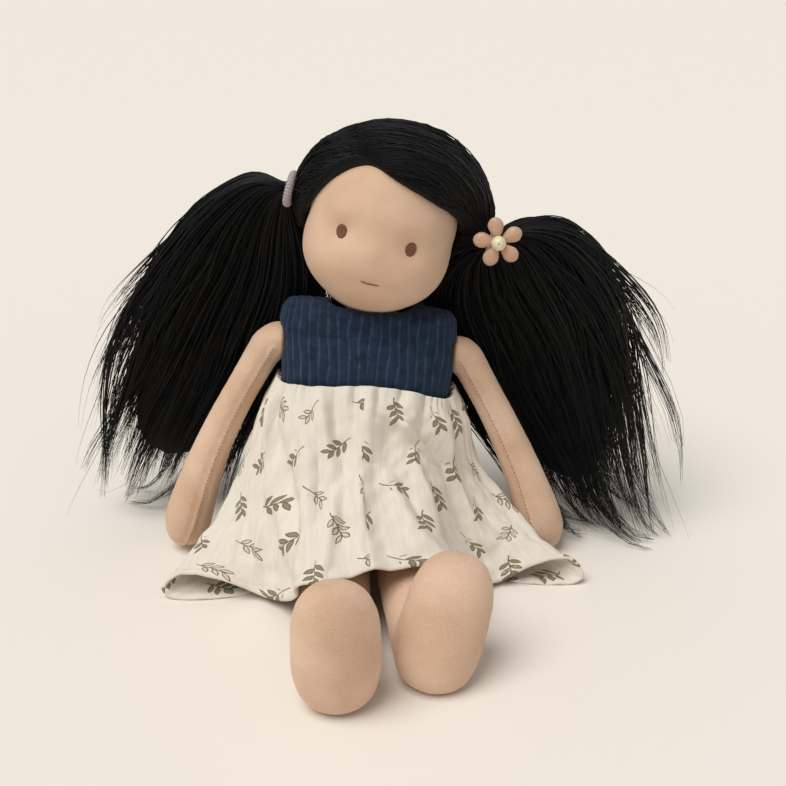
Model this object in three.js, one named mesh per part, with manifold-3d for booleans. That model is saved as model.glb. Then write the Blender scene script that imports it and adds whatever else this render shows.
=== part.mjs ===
// A seated cloth doll with a stuffed head, hair in two bunches, a corduroy bodice and a gauze skirt.
// Millimetres. +Z is up, the doll faces -Y, and its left hand is on the +X side.
// The origin is the middle of the flat patch that it sits on.
import * as THREE from 'three';
import Module from 'manifold-3d';
import { mergeVertices } from 'three/addons/utils/BufferGeometryUtils.js';

const wasm = await Module();
wasm.setup();

// Cloth, thread and the clearance between pieces that touch
const skinWall = 1;
const seatGap = 0.3;
const threadThickness = 0.8;
const overrun = 2;

// Body bag: an upper part that folds over a seat part
const bodyWidth = 77;
const bellyDepth = 50;
const bagHemRadius = 20;
const bodyHeight = 90.5;
const shoulderRidgeDepth = 11;
const foldHeight = 30;
const foldSetBack = 2;
const foldSideways = -7;
const reclineAngle = 8;
const bodyLeanAngle = 5;
const foldForwardRange = 30;
const foldBackRange = 50;

// Seat part
const seatWidth = 78;
const seatDepth = 54;
const seatHeight = 24;
const slitLength = 22;
const slitWidth = 6;

// Neck
const neckRadius = 13;
const neckSunkLength = 25;
const neckRise = 34.5;
const headPivotHeight = bodyHeight + neckRise;

// Head
const headWidth = 70;
const headDepth = 70;
const headHeight = 84.5;
const headPivotDrop = 8;
const neckHoleRadius = 9;
const cheekBulge = 2.4;
const eyeLineDip = 0.8;
const headLeanAngle = 9.5;
const headTurnAngle = -4;

// Face
const eyeSpacing = 32;
const eyeWidth = 4.9;
const eyeHeight = 6.4;
const eyeThickness = 0.8;
const eyeDrop = 2.6;
const mouthWidth = 9.4;
const mouthThickness = 0.9;
const mouthDrop = 21.6;
const mouthSideways = 2;
const mouthCurve = 0.8;

// Hair
const hairCapThickness = 11;
const hairCrownThickness = 7.5;
const hairEdgeThickness = 3;
const hairCapClearance = 0.9;
const tieHoleRadius = 4.6;
const tieCordRadius = 2.1;
const hairSweepThickness = 8;
const hairGatherThickness = 11;
const tieForward = 3;
const tieRise = 6;
const bunchWidth = 70;
const bunchDepth = 36;
const bunchFloorGap = 0.6;
const leftBunch = { side: 1, reach: 78, setBack: 30 };
const rightBunch = { side: -1, reach: 94, setBack: 34 };

// Flower on the left tie
const petalLength = 9.4;
const petalWidth = 7.4;
const petalThickness = 5;
const petalRingRadius = 7.6;
const beadDiameter = 6.8;
const shankDiameter = 2.4;
const shankLength = 7;
const petalCount = 5;
const flowerLift = 3;
const flowerSideways = 2;
const flowerRise = 3;

// Bodice
const bodiceWall = 1.6;
const bodiceHeight = 34;
const waistHeight = bodyHeight - bodiceHeight;
const neckOpeningWidth = 44;
const neckOpeningDepth = 31;
const armholeClearance = 0.8;
const buttonDiameter = 8;
const buttonThickness = 2;
const buttonPitch = 13;
const buttonDrop = 13.2;

// Arms
const shoulderDrop = 16.5;
const shoulderHeight = bodyHeight - shoulderDrop;
const armRootRadius = 10;
const armBendRadius = 12;
const armLength = 110;
const upperArmWidth = 20;
const handWidth = 25;
const armDepthShare = 0.92;
const leftArm = { splay: 28, forward: 5, bow: 4, tuck: 8 };
const rightArm = { splay: 19, forward: 3, bow: 5, tuck: 2 };

// Legs
const hipSpacing = 34.6;
const hipHeight = 16;
const legLength = 112;
const thighWidth = 33;
const thighDepth = 34;
const footLength = 62;
const footWidth = 38;
const footThickness = 28;
const legRootDepth = 3.6;
const legRootGap = 1.2;
const legMouthWidth = 20;
const floorCut = 0.5;
const leftLeg = { side: 1, turn: 5, lean: 22, tip: 18, tuck: 9 };
const rightLeg = { side: -1, turn: -3, lean: 0, tip: 0, tuck: 0 };

// Skirt
const skirtWall = 1.2;
const waistEase = 0.6;
const lapHeight = 38;
const lapReach = 86;
const wingReach = 100;
const lapSkew = 10;
const lapShift = 5;
const skirtFoldDepth = 2.4;
const skirtFolds = 14;

const { sin, cos, PI, sqrt, abs, sign, max, min } = Math;
const wholeTurn = 2 * PI;
const half = (size) => size / 2;
const weldDistance = 0.0003;
const radians = (degrees) => THREE.MathUtils.degToRad(degrees);
const vec = (x, y, z) => new THREE.Vector3(x, y, z);
const origin = vec(0, 0, 0);
const alongX = vec(1, 0, 0);
const alongY = vec(0, 1, 0);
const alongZ = vec(0, 0, 1);
const mix = THREE.MathUtils.lerp;
const clamp = THREE.MathUtils.clamp;
const range = (count) => Array.from({ length: count }, (unused, k) => k);

// A value between the entries of an evenly spaced list, joined smoothly
function smoothAt(values, share) {
  const place = share * (values.length - 1);
  const k = min(Math.floor(place), values.length - 2);
  const at = (i) => values[clamp(i, 0, values.length - 1)];
  const f = place - k;
  const slopeIn = half(at(k + 1) - at(k - 1));
  const slopeOut = half(at(k + 2) - at(k));
  const f2 = f * f;
  const f3 = f2 * f;
  return at(k) * (2 * f3 - 3 * f2 + 1) + slopeIn * (f3 - 2 * f2 + f)
    + at(k + 1) * (3 * f2 - 2 * f3) + slopeOut * (f3 - f2);
}

// A value between the entries of a list that belong to rising places, joined by straight lines
function valueAt(places, values, place) {
  const k = clamp(places.findIndex((p) => p >= place), 1, places.length - 1);
  const f = clamp((place - places[k - 1]) / (places[k] - places[k - 1]), 0, 1);
  return mix(values[k - 1], values[k], f);
}

// A point of a rounded outline about the origin. Its squareness is 1 for an ellipse and less for a box.
function outlinePoint(angle, halfWide, halfDeep, squareness) {
  const u = sign(cos(angle)) * abs(cos(angle)) ** squareness;
  const v = sign(sin(angle)) * abs(sin(angle)) ** squareness;
  return vec(halfWide * u, halfDeep * v, 0);
}

// One loop of points round a spine, half wide along the reference direction and half deep across it
function loop(centre, tangent, reference, halfWide, halfDeep, sides, squareness = 1) {
  const t = tangent.clone().normalize();
  const a = reference.clone().addScaledVector(t, -reference.dot(t)).normalize();
  const b = t.clone().cross(a);
  return range(sides).map((k) => {
    const at = outlinePoint(wholeTurn * k / sides, halfWide, halfDeep, squareness);
    return centre.clone().addScaledVector(a, at.x).addScaledVector(b, at.y);
  });
}

// Loops round a list of centres, each square to the line through its neighbours
function loopsAlong(centres, reference, halfWides, halfDeeps, sides, squareness = 1) {
  return centres.map((centre, i) => {
    const ahead = centres[min(i + 1, centres.length - 1)];
    const behind = centres[max(i - 1, 0)];
    return loop(centre, ahead.clone().sub(behind), reference, halfWides[i], halfDeeps[i], sides, squareness);
  });
}

const middleOf = (points) => points.reduce((sum, p) => sum.add(p), vec(0, 0, 0)).divideScalar(points.length);

// A body from points and triangles, turned so that its faces point out
function facesOutward(points, faces) {
  let volume = 0;
  for (let i = 0; i < faces.length; i += 3) {
    const [a, b, c] = [points[faces[i]], points[faces[i + 1]], points[faces[i + 2]]];
    volume += a.dot(b.clone().cross(c));
  }
  const order = volume < 0 ? faces.slice().reverse() : faces;
  const geometry = new THREE.BufferGeometry();
  geometry.setAttribute('position', new THREE.Float32BufferAttribute(points.flatMap((p) => p.toArray()), 3));
  geometry.setIndex(order);
  return geometry;
}

// A closed body through loops of points. The ends are capped, or join each other when it is a ring.
function bodyThrough(loops, ring = false) {
  const sides = loops[0].length;
  const points = loops.flat();
  const faces = [];
  const steps = ring ? loops.length : loops.length - 1;
  for (let i = 0; i < steps; i += 1) {
    const low = i * sides;
    const high = ((i + 1) % loops.length) * sides;
    for (let k = 0; k < sides; k += 1) {
      const next = (k + 1) % sides;
      faces.push(low + k, low + next, high + next, low + k, high + next, high + k);
    }
  }
  if (!ring) {
    const last = (loops.length - 1) * sides;
    const startMiddle = points.length;
    points.push(middleOf(loops[0]), middleOf(loops[loops.length - 1]));
    for (let k = 0; k < sides; k += 1) {
      const next = (k + 1) % sides;
      faces.push(startMiddle, next, k, startMiddle + 1, last + k, last + next);
    }
  }
  return facesOutward(points, faces);
}

// The same loops moved towards the inside by a distance, square to the surface that they make
function inset(loops, distance) {
  const sides = loops[0].length;
  const side = (i, k) => loops[i][(k + sides) % sides];
  const middles = loops.map(middleOf);
  const normals = loops.map((points, i) => points.map((p, k) => {
    const ahead = side(min(i + 1, loops.length - 1), k);
    const behind = side(max(i - 1, 0), k);
    const round = side(i, k + 1).clone().sub(side(i, k - 1));
    return round.cross(ahead.clone().sub(behind)).normalize();
  }));
  const ways = normals.flatMap((row, i) => row.map((n, k) => sign(n.dot(side(i, k).clone().sub(middles[i])))));
  const outward = ways.reduce((sum, way) => sum + way, 0);
  const move = outward < 0 ? distance : -distance;
  return loops.map((points, i) => points.map((p, k) => p.clone().addScaledVector(normals[i][k], move)));
}

// A closed form's loops moved in by a distance all over, its two end faces included
function shrunk(loops, distance) {
  const moved = inset(loops, distance);
  const last = loops.length - 1;
  [[0, 1], [last, last - 1]].forEach(([end, next]) => {
    const inward = middleOf(loops[next]).sub(middleOf(loops[end])).normalize();
    moved[end].forEach((p, k) => {
      const along = p.clone().sub(loops[end][k]).dot(inward);
      p.addScaledVector(inward, distance - along);
    });
  });
  return moved;
}

const positionsOnly = (geometry) => {
  const plain = geometry.clone();
  plain.deleteAttribute('normal');
  plain.deleteAttribute('uv');
  return mergeVertices(plain, weldDistance);
};

function solidOf(geometry) {
  const merged = positionsOnly(geometry);
  return new wasm.Manifold(new wasm.Mesh({
    numProp: 3,
    vertProperties: new Float32Array(merged.attributes.position.array),
    triVerts: new Uint32Array(merged.index.array),
  }));
}

function geometryOf(solid) {
  const { vertProperties, triVerts } = solid.getMesh();
  const geometry = new THREE.BufferGeometry();
  geometry.setAttribute('position', new THREE.BufferAttribute(vertProperties, 3));
  geometry.setIndex(new THREE.BufferAttribute(triVerts, 1));
  return geometry;
}

const join = (geometries) => geometryOf(geometries.map(solidOf).reduce((whole, next) => whole.add(next)));
const cut = (geometry, ...cutters) => geometryOf(
  cutters.reduce((left, cutter) => left.subtract(solidOf(cutter)), solidOf(geometry)),
);

const colours = {
  skin: 0xd9b99b, wool: 0xefe8da, thread: 0xb08a70, hair: 0x0f0f12, eye: 0x5e3a24, mouth: 0x8a5a42,
  bodice: 0x2b3e57, skirt: 0xddd6ca, button: 0xe4dcc8, tie: 0xb3a5a3, petal: 0xc09a80, bead: 0xe4dcb8,
};

function piece(name, geometry, colour, roughness = 0.9) {
  const finish = new THREE.MeshStandardMaterial({ color: colour, roughness, metalness: 0 });
  const mesh = new THREE.Mesh(geometry, finish);
  mesh.name = name;
  return mesh;
}

// A sewn skin and the stuffing inside it. The form gives its closed bodies at a depth below its surface,
// the mouths are the openings that are left in the skin, and the hollows go through both.
function sewn(name, form, mouths, hollows = []) {
  return [
    piece(`${name}_skin`, cut(join(form(0)), join(form(skinWall)), ...mouths, ...hollows), colours.skin),
    piece(`${name}_stuffing`, cut(join(form(skinWall + seatGap)), ...hollows), colours.wool),
  ];
}

// A ring of round thread or cord about an axis
const ringSteps = 14;
const cordSides = 4;

function cordRing(centre, axis, reference, ringRadius, cordRadius, shape = {}) {
  const { deepShare = 1, steps = ringSteps, sides = cordSides } = shape;
  const path = loop(centre, axis, reference, ringRadius, ringRadius * deepShare, steps);
  const loops = path.map((p, k) => {
    const ahead = path[(k + 1) % steps];
    const behind = path[(k + steps - 1) % steps];
    return loop(p, ahead.clone().sub(behind), axis, cordRadius, cordRadius, sides);
  });
  return bodyThrough(loops, true);
}

const doll = new THREE.Group();

// Body bag: squarish sections from the rounded hem at the fold up to the sewn shoulder ridge
const bodySides = 16;
const bodySquarenessShare = 0.72;
const bodyHeightShares = [0, 0.1, 0.28, 0.48, 0.66, 0.8, 0.9, 0.96, 1];
const bodyWidthShares = [0.95, 0.97, 1, 1, 1, 0.99, 0.975, 0.96, 0.9];
const bodyDepthShares = [0.8, 0.86, 0.95, 1, 0.94, 0.78, 0.56, 0.38, 0.22];
const bagHemShares = [-0.9, -0.55];

const bodyShareAt = (shares, height) => valueAt(bodyHeightShares, shares, height / bodyHeight);
const bodyHalfWidthAt = (height) => half(bodyWidth) * bodyShareAt(bodyWidthShares, height);
const bodyHalfDepthAt = (height) => max(
  half(bellyDepth) * bodyShareAt(bodyDepthShares, height), half(shoulderRidgeDepth),
);

const bagLoops = [
  ...bagHemShares.map((share) => loop(
    vec(0, 0, bagHemRadius * share), alongZ, alongX,
    bodyHalfWidthAt(0), bagHemRadius * sqrt(1 - share * share), bodySides, bodySquarenessShare,
  )),
  ...bodyHeightShares.map((share) => loop(
    vec(0, 0, bodyHeight * share), alongZ, alongX,
    bodyHalfWidthAt(bodyHeight * share), bodyHalfDepthAt(bodyHeight * share), bodySides, bodySquarenessShare,
  )),
];

// What the neck takes out of the bag's top
const neckFoot = bodyHeight - neckSunkLength;
const neckBore = new THREE.CylinderGeometry(neckRadius + seatGap, neckRadius + seatGap, bodyHeight, bodySides);
neckBore.rotateX(half(PI));
neckBore.translate(0, 0, neckFoot - seatGap + half(bodyHeight));

const body = new THREE.Group();
body.position.set(foldSideways, foldSetBack, foldHeight);
body.rotation.set(radians(-reclineAngle), radians(bodyLeanAngle), 0, 'YXZ');
doll.add(body);
body.add(...sewn('torso', (depthIn) => [bodyThrough(shrunk(bagLoops, depthIn))], [], [neckBore]));

// Seat part: a cushion with a trough that the bag's hem rolls in. The trough is wide enough at its
// sides for the bag's back when it leans back and for its belly when it leans forward.
const troughSteps = 16;

function troughCutter(depthIn) {
  const clearance = seatGap + depthIn;
  const hemRadius = bagHemRadius + clearance;
  const bagHalf = half(bellyDepth) + clearance;
  const step = sqrt(hemRadius ** 2 - depthIn ** 2);
  const sideLine = (side, lean) => [[bagHalf, bodyHeight], [bagHalf, -depthIn], [step, -depthIn]]
    .map(([y, z]) => new THREE.Vector2(side * y, z).rotateAround(new THREE.Vector2(), -side * radians(lean)));
  const backLine = sideLine(1, reclineAngle + foldBackRange);
  const frontLine = sideLine(-1, foldForwardRange - reclineAngle).reverse();
  const angleOf = (point) => Math.atan2(-point.y, point.x);
  const [arcStart, arcEnd] = [angleOf(backLine[backLine.length - 1]), angleOf(frontLine[0])];
  const arc = range(troughSteps).slice(1).map((k) => mix(arcStart, arcEnd, k / troughSteps))
    .map((angle) => new THREE.Vector2(hemRadius * cos(angle), -hemRadius * sin(angle)));
  const profile = [...backLine, ...arc, ...frontLine];
  const trough = new THREE.ExtrudeGeometry(new THREE.Shape(profile), { depth: 2 * bodyWidth, bevelEnabled: false });
  return trough.translate(0, 0, -bodyWidth)
    .applyMatrix4(new THREE.Matrix4().makeBasis(alongY, alongZ, alongX))
    .rotateY(radians(bodyLeanAngle)).translate(foldSideways, foldSetBack, foldHeight);
}

const seatHeightShares = [0, 0.14, 0.4, 0.8, 1];
const seatWidthShares = [0.93, 0.99, 1, 0.98, 0.9];

function seatForm(depthIn) {
  const loops = seatHeightShares.map((share, i) => loop(
    vec(0, 0, seatHeight * share), alongZ, alongX,
    half(seatWidth) * seatWidthShares[i], half(seatDepth) * seatWidthShares[i], bodySides, bodySquarenessShare,
  ));
  return [cut(bodyThrough(shrunk(loops, depthIn)), troughCutter(depthIn))];
}

const seatSlit = new THREE.BoxGeometry(slitLength, slitWidth, foldHeight - bagHemRadius);
seatSlit.translate(foldSideways, foldSetBack, foldHeight - bagHemRadius);
doll.add(...sewn('seat', seatForm, [seatSlit]));

// Head: loops from the neck hole up to the crown, with full cheeks and a drawn-in eye line.
// A tilt share is 0 at the crown and 1 under the chin.
const headSides = 20;
const crownTiltShare = 0.07;
const headTiltShares = [0.83, 0.76, 0.69, 0.62, 0.56, 0.51, 0.47, 0.42, 0.35, 0.28, 0.21, 0.14, crownTiltShare];
const cheekShare = 0.68;
const cheekSpreadShare = 0.12;
const eyeLineShare = 0.51;
const eyeLineSpreadShare = 0.035;
const bump = (value, centre, width) => Math.exp(-(((value - centre) / width) ** 2));

const head = new THREE.Group();
head.position.set(0, 0, headPivotHeight);
head.rotation.set(0, radians(headLeanAngle), radians(headTurnAngle));
body.add(head);

const headSwell = (tiltShare) => cheekBulge * bump(tiltShare, cheekShare, cheekSpreadShare)
  - eyeLineDip * bump(tiltShare, eyeLineShare, eyeLineSpreadShare);

function headLoop(tiltShare) {
  const tilt = PI * tiltShare;
  const swell = headSwell(tiltShare);
  return loop(vec(0, 0, headPivotDrop + half(headHeight) * cos(tilt)), alongZ, alongX,
    half(headWidth) * sin(tilt) + swell, half(headDepth) * sin(tilt) + swell, headSides);
}

const neckHoleTiltShare = 1 - Math.asin(neckHoleRadius / half(headWidth)) / PI;
const headLoops = [neckHoleTiltShare, ...headTiltShares].map(headLoop);
const neckHole = new THREE.CylinderGeometry(
  neckHoleRadius - skinWall, neckHoleRadius - skinWall, half(headHeight), headSides,
);
neckHole.rotateX(half(PI));
neckHole.translate(0, 0, headPivotDrop - half(headHeight));
const headShell = cut(bodyThrough(headLoops), bodyThrough(shrunk(headLoops, skinWall)), neckHole);
const headSkin = piece('head_skin', headShell, colours.skin);

// Inner head: a wound wool ball with a groove where the eye thread draws it in
const coreDepth = skinWall + seatGap;
const grooveDepth = threadThickness + 2 * seatGap;
const grooveSpreadShare = 0.024;
const grooveFloorShare = 0.012;
const eyeThreadShare = eyeLineShare - eyeLineSpreadShare;
const coreLoopAt = (share, depthIn) => inset(
  [share + eyeLineSpreadShare, share, share - eyeLineSpreadShare].map(headLoop), depthIn,
)[1];
const grooveLoops = [
  coreLoopAt(eyeThreadShare + grooveSpreadShare, coreDepth),
  coreLoopAt(eyeThreadShare + grooveFloorShare, coreDepth + grooveDepth),
  coreLoopAt(eyeThreadShare - grooveFloorShare, coreDepth + grooveDepth),
  coreLoopAt(eyeThreadShare - grooveSpreadShare, coreDepth),
];
const coreShares = headTiltShares.slice(1).filter((share) => abs(share - eyeThreadShare) > grooveSpreadShare);
const below = coreShares.filter((share) => share > eyeThreadShare);
const above = coreShares.filter((share) => share < eyeThreadShare);
const coreLoops = [
  ...below.map((share) => coreLoopAt(share, coreDepth)),
  ...grooveLoops,
  ...above.map((share) => coreLoopAt(share, coreDepth)),
];
head.add(piece('head_core', bodyThrough(coreLoops), colours.wool));
const threadDepth = coreDepth + seatGap + half(threadThickness);
const threadRadius = half(headWidth) * sin(PI * eyeThreadShare) + headSwell(eyeThreadShare) - threadDepth;
const eyeThread = cordRing(middleOf(headLoop(eyeThreadShare)), alongZ, alongX, threadRadius,
  half(threadThickness), { deepShare: headDepth / headWidth, steps: headSides });
head.add(piece('eye_line_thread', eyeThread, colours.thread));

// How far points can move in a direction before the first of them meets a mesh
function runTo(mesh, starts, direction) {
  const hits = starts.flatMap((start) => new THREE.Raycaster(start, direction).intersectObject(mesh));
  return min(...hits.map((hit) => hit.distance));
}

// The face is laid on the skin where a line from the front meets it
function onFace(sideways, drop, lift) {
  const height = headPivotDrop - drop;
  const hit = new THREE.Raycaster(vec(sideways, -headDepth, height), alongY).intersectObject(headSkin)[0];
  const normal = vec(sideways / half(headWidth) ** 2, hit.point.y / half(headDepth) ** 2,
    -drop / half(headHeight) ** 2).normalize();
  return { point: hit.point.clone().addScaledVector(normal, lift), normal };
}

const domeShares = [[0, 0], [1, 0], [0.94, 0.5], [0.6, 0.92], [0, 1]];
const domeSides = 12;

function eye(name, sideways) {
  const { point, normal } = onFace(sideways, eyeDrop, 2 * seatGap);
  const profile = domeShares.map(([r, h]) => new THREE.Vector2(r, eyeThickness * h));
  const dome = new THREE.LatheGeometry(profile, domeSides);
  dome.rotateX(half(PI));
  dome.scale(half(eyeWidth), half(eyeHeight), 1);
  const mesh = piece(name, dome, colours.eye, 0.6);
  mesh.position.copy(point);
  mesh.quaternion.setFromRotationMatrix(new THREE.Matrix4().lookAt(normal, origin, alongZ));
  return mesh;
}

const mouthShares = [-1, -0.6, -0.2, 0.2, 0.6, 1];
const mouthFullShares = [0.5, 1, 1, 1, 1, 0.5];

function mouth() {
  const path = mouthShares.map((share) => onFace(mouthSideways + half(mouthWidth) * share,
    mouthDrop + mouthCurve * (1 - share * share), seatGap + half(mouthThickness)).point);
  const thin = mouthFullShares.map((share) => half(mouthThickness) * share);
  return piece('mouth', bodyThrough(loopsAlong(path, alongZ, thin, thin, cordSides)), colours.mouth, 0.7);
}

head.add(eye('eye_left', half(eyeSpacing)), eye('eye_right', -half(eyeSpacing)), mouth(), headSkin);

// Hair cap: knotted in along the hairline, from the forehead round by the left tie, the nape and the right tie
const capSides = 26;
const capSteps = 8;
const capStartShare = 0.03;
const hairlineShares = [
  0.303, 0.33, 0.365, 0.4, 0.46, 0.54, 0.62, 0.67, 0.69, 0.67, 0.63, 0.6, 0.575, 0.455, 0.325, 0.297, 0.303,
];

// A point on the head's skin in a direction, or a distance above it
function overHead(tiltShare, azimuth, lift) {
  const tilt = PI * tiltShare;
  const out = max(headSwell(tiltShare), 0) + lift * sin(tilt);
  return vec(
    (half(headWidth) * sin(tilt) + out) * cos(azimuth),
    (half(headDepth) * sin(tilt) + out) * sin(azimuth),
    headPivotDrop + (half(headHeight) + lift) * cos(tilt),
  );
}

function capLoops(liftAt) {
  return range(capSteps + 1).map((i) => range(capSides).map((k) => {
    const share = k / capSides;
    const along = i / capSteps;
    return overHead(mix(capStartShare, smoothAt(hairlineShares, share), along), wholeTurn * share - half(PI),
      liftAt(along, share));
  }));
}

const edgeSharpness = 6;
const gatherShares = [0, 0, 0, 0.3, 1, 1, 0.6, 0.2, 0, 0, 0, 0, 0, 0, 0, 0, 0];
const sweepShares = [0, 0.2, 0.6, 0.95, 1, 0.7, 0.3, 0, 0, 0, 0, 0, 0, 0, 0, 0, 0];
const capOuter = capLoops((along, share) => mix(
  mix(hairCrownThickness, hairCapThickness + hairSweepThickness * smoothAt(sweepShares, share), along),
  hairEdgeThickness + hairGatherThickness * smoothAt(gatherShares, share), along ** edgeSharpness,
));
const capInner = capLoops(() => hairCapClearance);
const hairCap = piece('hair_cap', bodyThrough([...capOuter, ...capInner.reverse()]), colours.hair);

// Hair ties that lie against the cap, and the bunches that come out of them and hang to the floor
const tieSides = 8;
const tieRingRadius = tieHoleRadius + tieCordRadius;

function tieAt(side) {
  const start = vec(side * headWidth, -tieForward, headPivotDrop + tieRise);
  const inward = vec(-side, 0, 0);
  const face = [0, tieHoleRadius, tieRingRadius, tieRingRadius + tieCordRadius]
    .flatMap((radius) => loop(start, alongX, alongZ, radius, radius, ringSteps));
  return start.addScaledVector(inward, runTo(hairCap, face, inward) - seatGap - tieCordRadius);
}

const leftTie = tieAt(1);
const rightTie = tieAt(-1);
const hairTie = (name, centre) => piece(name,
  cordRing(centre, alongX, alongZ, tieRingRadius, tieCordRadius, { sides: tieSides }), colours.tie);
const leftTieRing = hairTie('hair_tie_left', leftTie);
const rightTieRing = hairTie('hair_tie_right', rightTie);

const bunchOutShares = [0.09, 0.17, 0.28, 0.42, 0.57, 0.7, 0.82, 0.91, 0.96];
const bunchBackShares = [0.05, 0.25, 0.55, 0.8, 0.95, 1, 0.95, 0.85, 0.75];
const bunchHeightShares = [0.995, 0.96, 0.88, 0.74, 0.58, 0.42, 0.27, 0.14, 0.05];
const bunchWidthShares = [0.14, 0.42, 0.74, 0.96, 1.04, 1.02, 0.96, 0.84, 0.55];
const bunchDepthShares = [0.2, 0.5, 0.75, 0.95, 1, 1, 0.95, 0.8, 0.5];
const bunchSides = 12;

function hairBunch(name, tieCentre, { side, reach, setBack }) {
  const tie = head.localToWorld(tieCentre.clone());
  const rootRun = tieCordRadius + 2 * seatGap;
  const rootEnds = [-tieCordRadius, rootRun]
    .map((out) => head.localToWorld(tieCentre.clone().addScaledVector(alongX, side * out)));
  const spine = bunchOutShares.map((share, i) => vec(
    tie.x + side * reach * share, tie.y + setBack * bunchBackShares[i], tie.z * bunchHeightShares[i],
  ));
  const rootHalf = tieHoleRadius - 2 * seatGap;
  const wides = [rootHalf, rootHalf, ...bunchWidthShares.map((share) => half(bunchWidth) * share)];
  const deeps = [rootHalf, rootHalf, ...bunchDepthShares.map((share) => half(bunchDepth) * share)];
  const loops = loopsAlong([...rootEnds, ...spine], alongY, deeps, wides, bunchSides);
  const tieAxis = rootEnds[1].clone().sub(rootEnds[0]);
  loops[1] = loop(rootEnds[1], tieAxis, alongY, rootHalf, rootHalf, bunchSides);
  loops.forEach((points) => points.forEach((p) => p.setZ(max(p.z, bunchFloorGap))));
  return piece(name, bodyThrough(loops), colours.hair);
}

doll.updateMatrixWorld(true);
doll.add(hairBunch('pigtail_left', leftTie, leftBunch), hairBunch('pigtail_right', rightTie, rightBunch));

// Neck: a stuffed stub sunk in the bag, with a cup on top that the head's underside turns in
const headBallRadius = half(headHeight) - headPivotDrop;
const neckTop = headPivotHeight - sqrt(headBallRadius * headBallRadius - neckRadius * neckRadius);
const neckStub = new THREE.CylinderGeometry(neckRadius, neckRadius, neckTop - neckFoot, bodySides);
neckStub.rotateX(half(PI));
neckStub.translate(0, 0, half(neckTop + neckFoot));
const headBall = new THREE.SphereGeometry(headBallRadius + 2 * seatGap, 2 * headSides, headSides);
headBall.translate(0, 0, headPivotHeight);
body.add(piece('neck_core', cut(neckStub, headBall), colours.skin));
body.add(piece('neck_thread', cordRing(vec(0, 0, bodyHeight + seatGap + half(threadThickness)), alongZ, alongX,
  neckRadius + seatGap + half(threadThickness), half(threadThickness)), colours.thread));

// Bodice: a shell over the bag that rounds out in front of the neck, with a boat neck and two armholes
const neckClearRadius = neckRadius + threadThickness + 3 * seatGap;
const bodiceHalfDepthAt = (height) => max(bodyHalfDepthAt(height), neckClearRadius);
const bodiceRoundShares = [0, 0, 0, 0, 0, 0, 0, 0.5, 1];
const bodiceHeights = [waistHeight, ...bodyHeightShares.map((share) => bodyHeight * share)
  .filter((height) => height > waistHeight + overrun)];

function bodiceBody(lift, footDrop) {
  const loops = bodiceHeights.map((height) => loop(vec(0, 0, height), alongZ, alongX,
    bodyHalfWidthAt(height), bodiceHalfDepthAt(height), bodySides,
    mix(bodySquarenessShare, 1, bodyShareAt(bodiceRoundShares, height))));
  const grown = shrunk(loops, -lift);
  grown[0].forEach((p) => p.setZ(waistHeight - footDrop));
  return bodyThrough(grown);
}

const neckOpening = new THREE.CylinderGeometry(half(neckOpeningWidth), half(neckOpeningWidth), bodyHeight, headSides);
neckOpening.rotateX(half(PI));
neckOpening.scale(1, neckOpeningDepth / neckOpeningWidth, 1);
neckOpening.translate(0, 0, half(waistHeight + bodyHeight) + half(bodyHeight));

const armholes = new THREE.CylinderGeometry(
  armRootRadius + armholeClearance, armRootRadius + armholeClearance, 2 * bodyWidth, headSides,
);
armholes.rotateZ(half(PI));
armholes.translate(0, 0, shoulderHeight);
const bodiceLift = seatGap + bodiceWall;
body.add(piece('bodice',
  cut(bodiceBody(bodiceLift, 0), bodiceBody(seatGap, overrun), neckOpening, armholes), colours.bodice));

const buttonShares = [[0, 0], [1, 0], [1, 0.6], [0.85, 1], [0.6, 0.7], [0, 0.7]];

function button(name, height) {
  const disc = new THREE.LatheGeometry(
    buttonShares.map(([r, h]) => new THREE.Vector2(half(buttonDiameter) * r, buttonThickness * h)), domeSides,
  );
  const topBack = bodiceHalfDepthAt(height + half(buttonDiameter));
  const footBack = bodiceHalfDepthAt(height - half(buttonDiameter));
  const slope = Math.atan2(footBack - topBack, buttonDiameter);
  disc.rotateX(slope);
  const back = max(half(topBack + footBack), bodiceHalfDepthAt(height));
  disc.translate(0, back + (bodiceLift + seatGap) / cos(slope), height);
  return piece(name, disc, colours.button, 0.5);
}

const topButton = bodyHeight - buttonDrop;
body.add(button('button_upper', topButton), button('button_lower', topButton - buttonPitch));

// Arms: a round root on the swing axis, an elbow of cloth, then a sleeve that swells into a mitten hand
const armSides = 12;
const armBendShares = [0, 0.35, 0.7, 1];
const sleeveShares = [0.14, 0.3, 0.46, 0.62, 0.76, 0.87, 0.94, 0.98, 0.997];
const sleeveFullShares = [0.02, 0.12, 0.3, 0.56, 0.84, 1, 1, 1, 1];
const sleeveEndShares = [1, 1, 1, 1, 1, 0.97, 0.8, 0.56, 0.26];

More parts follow.
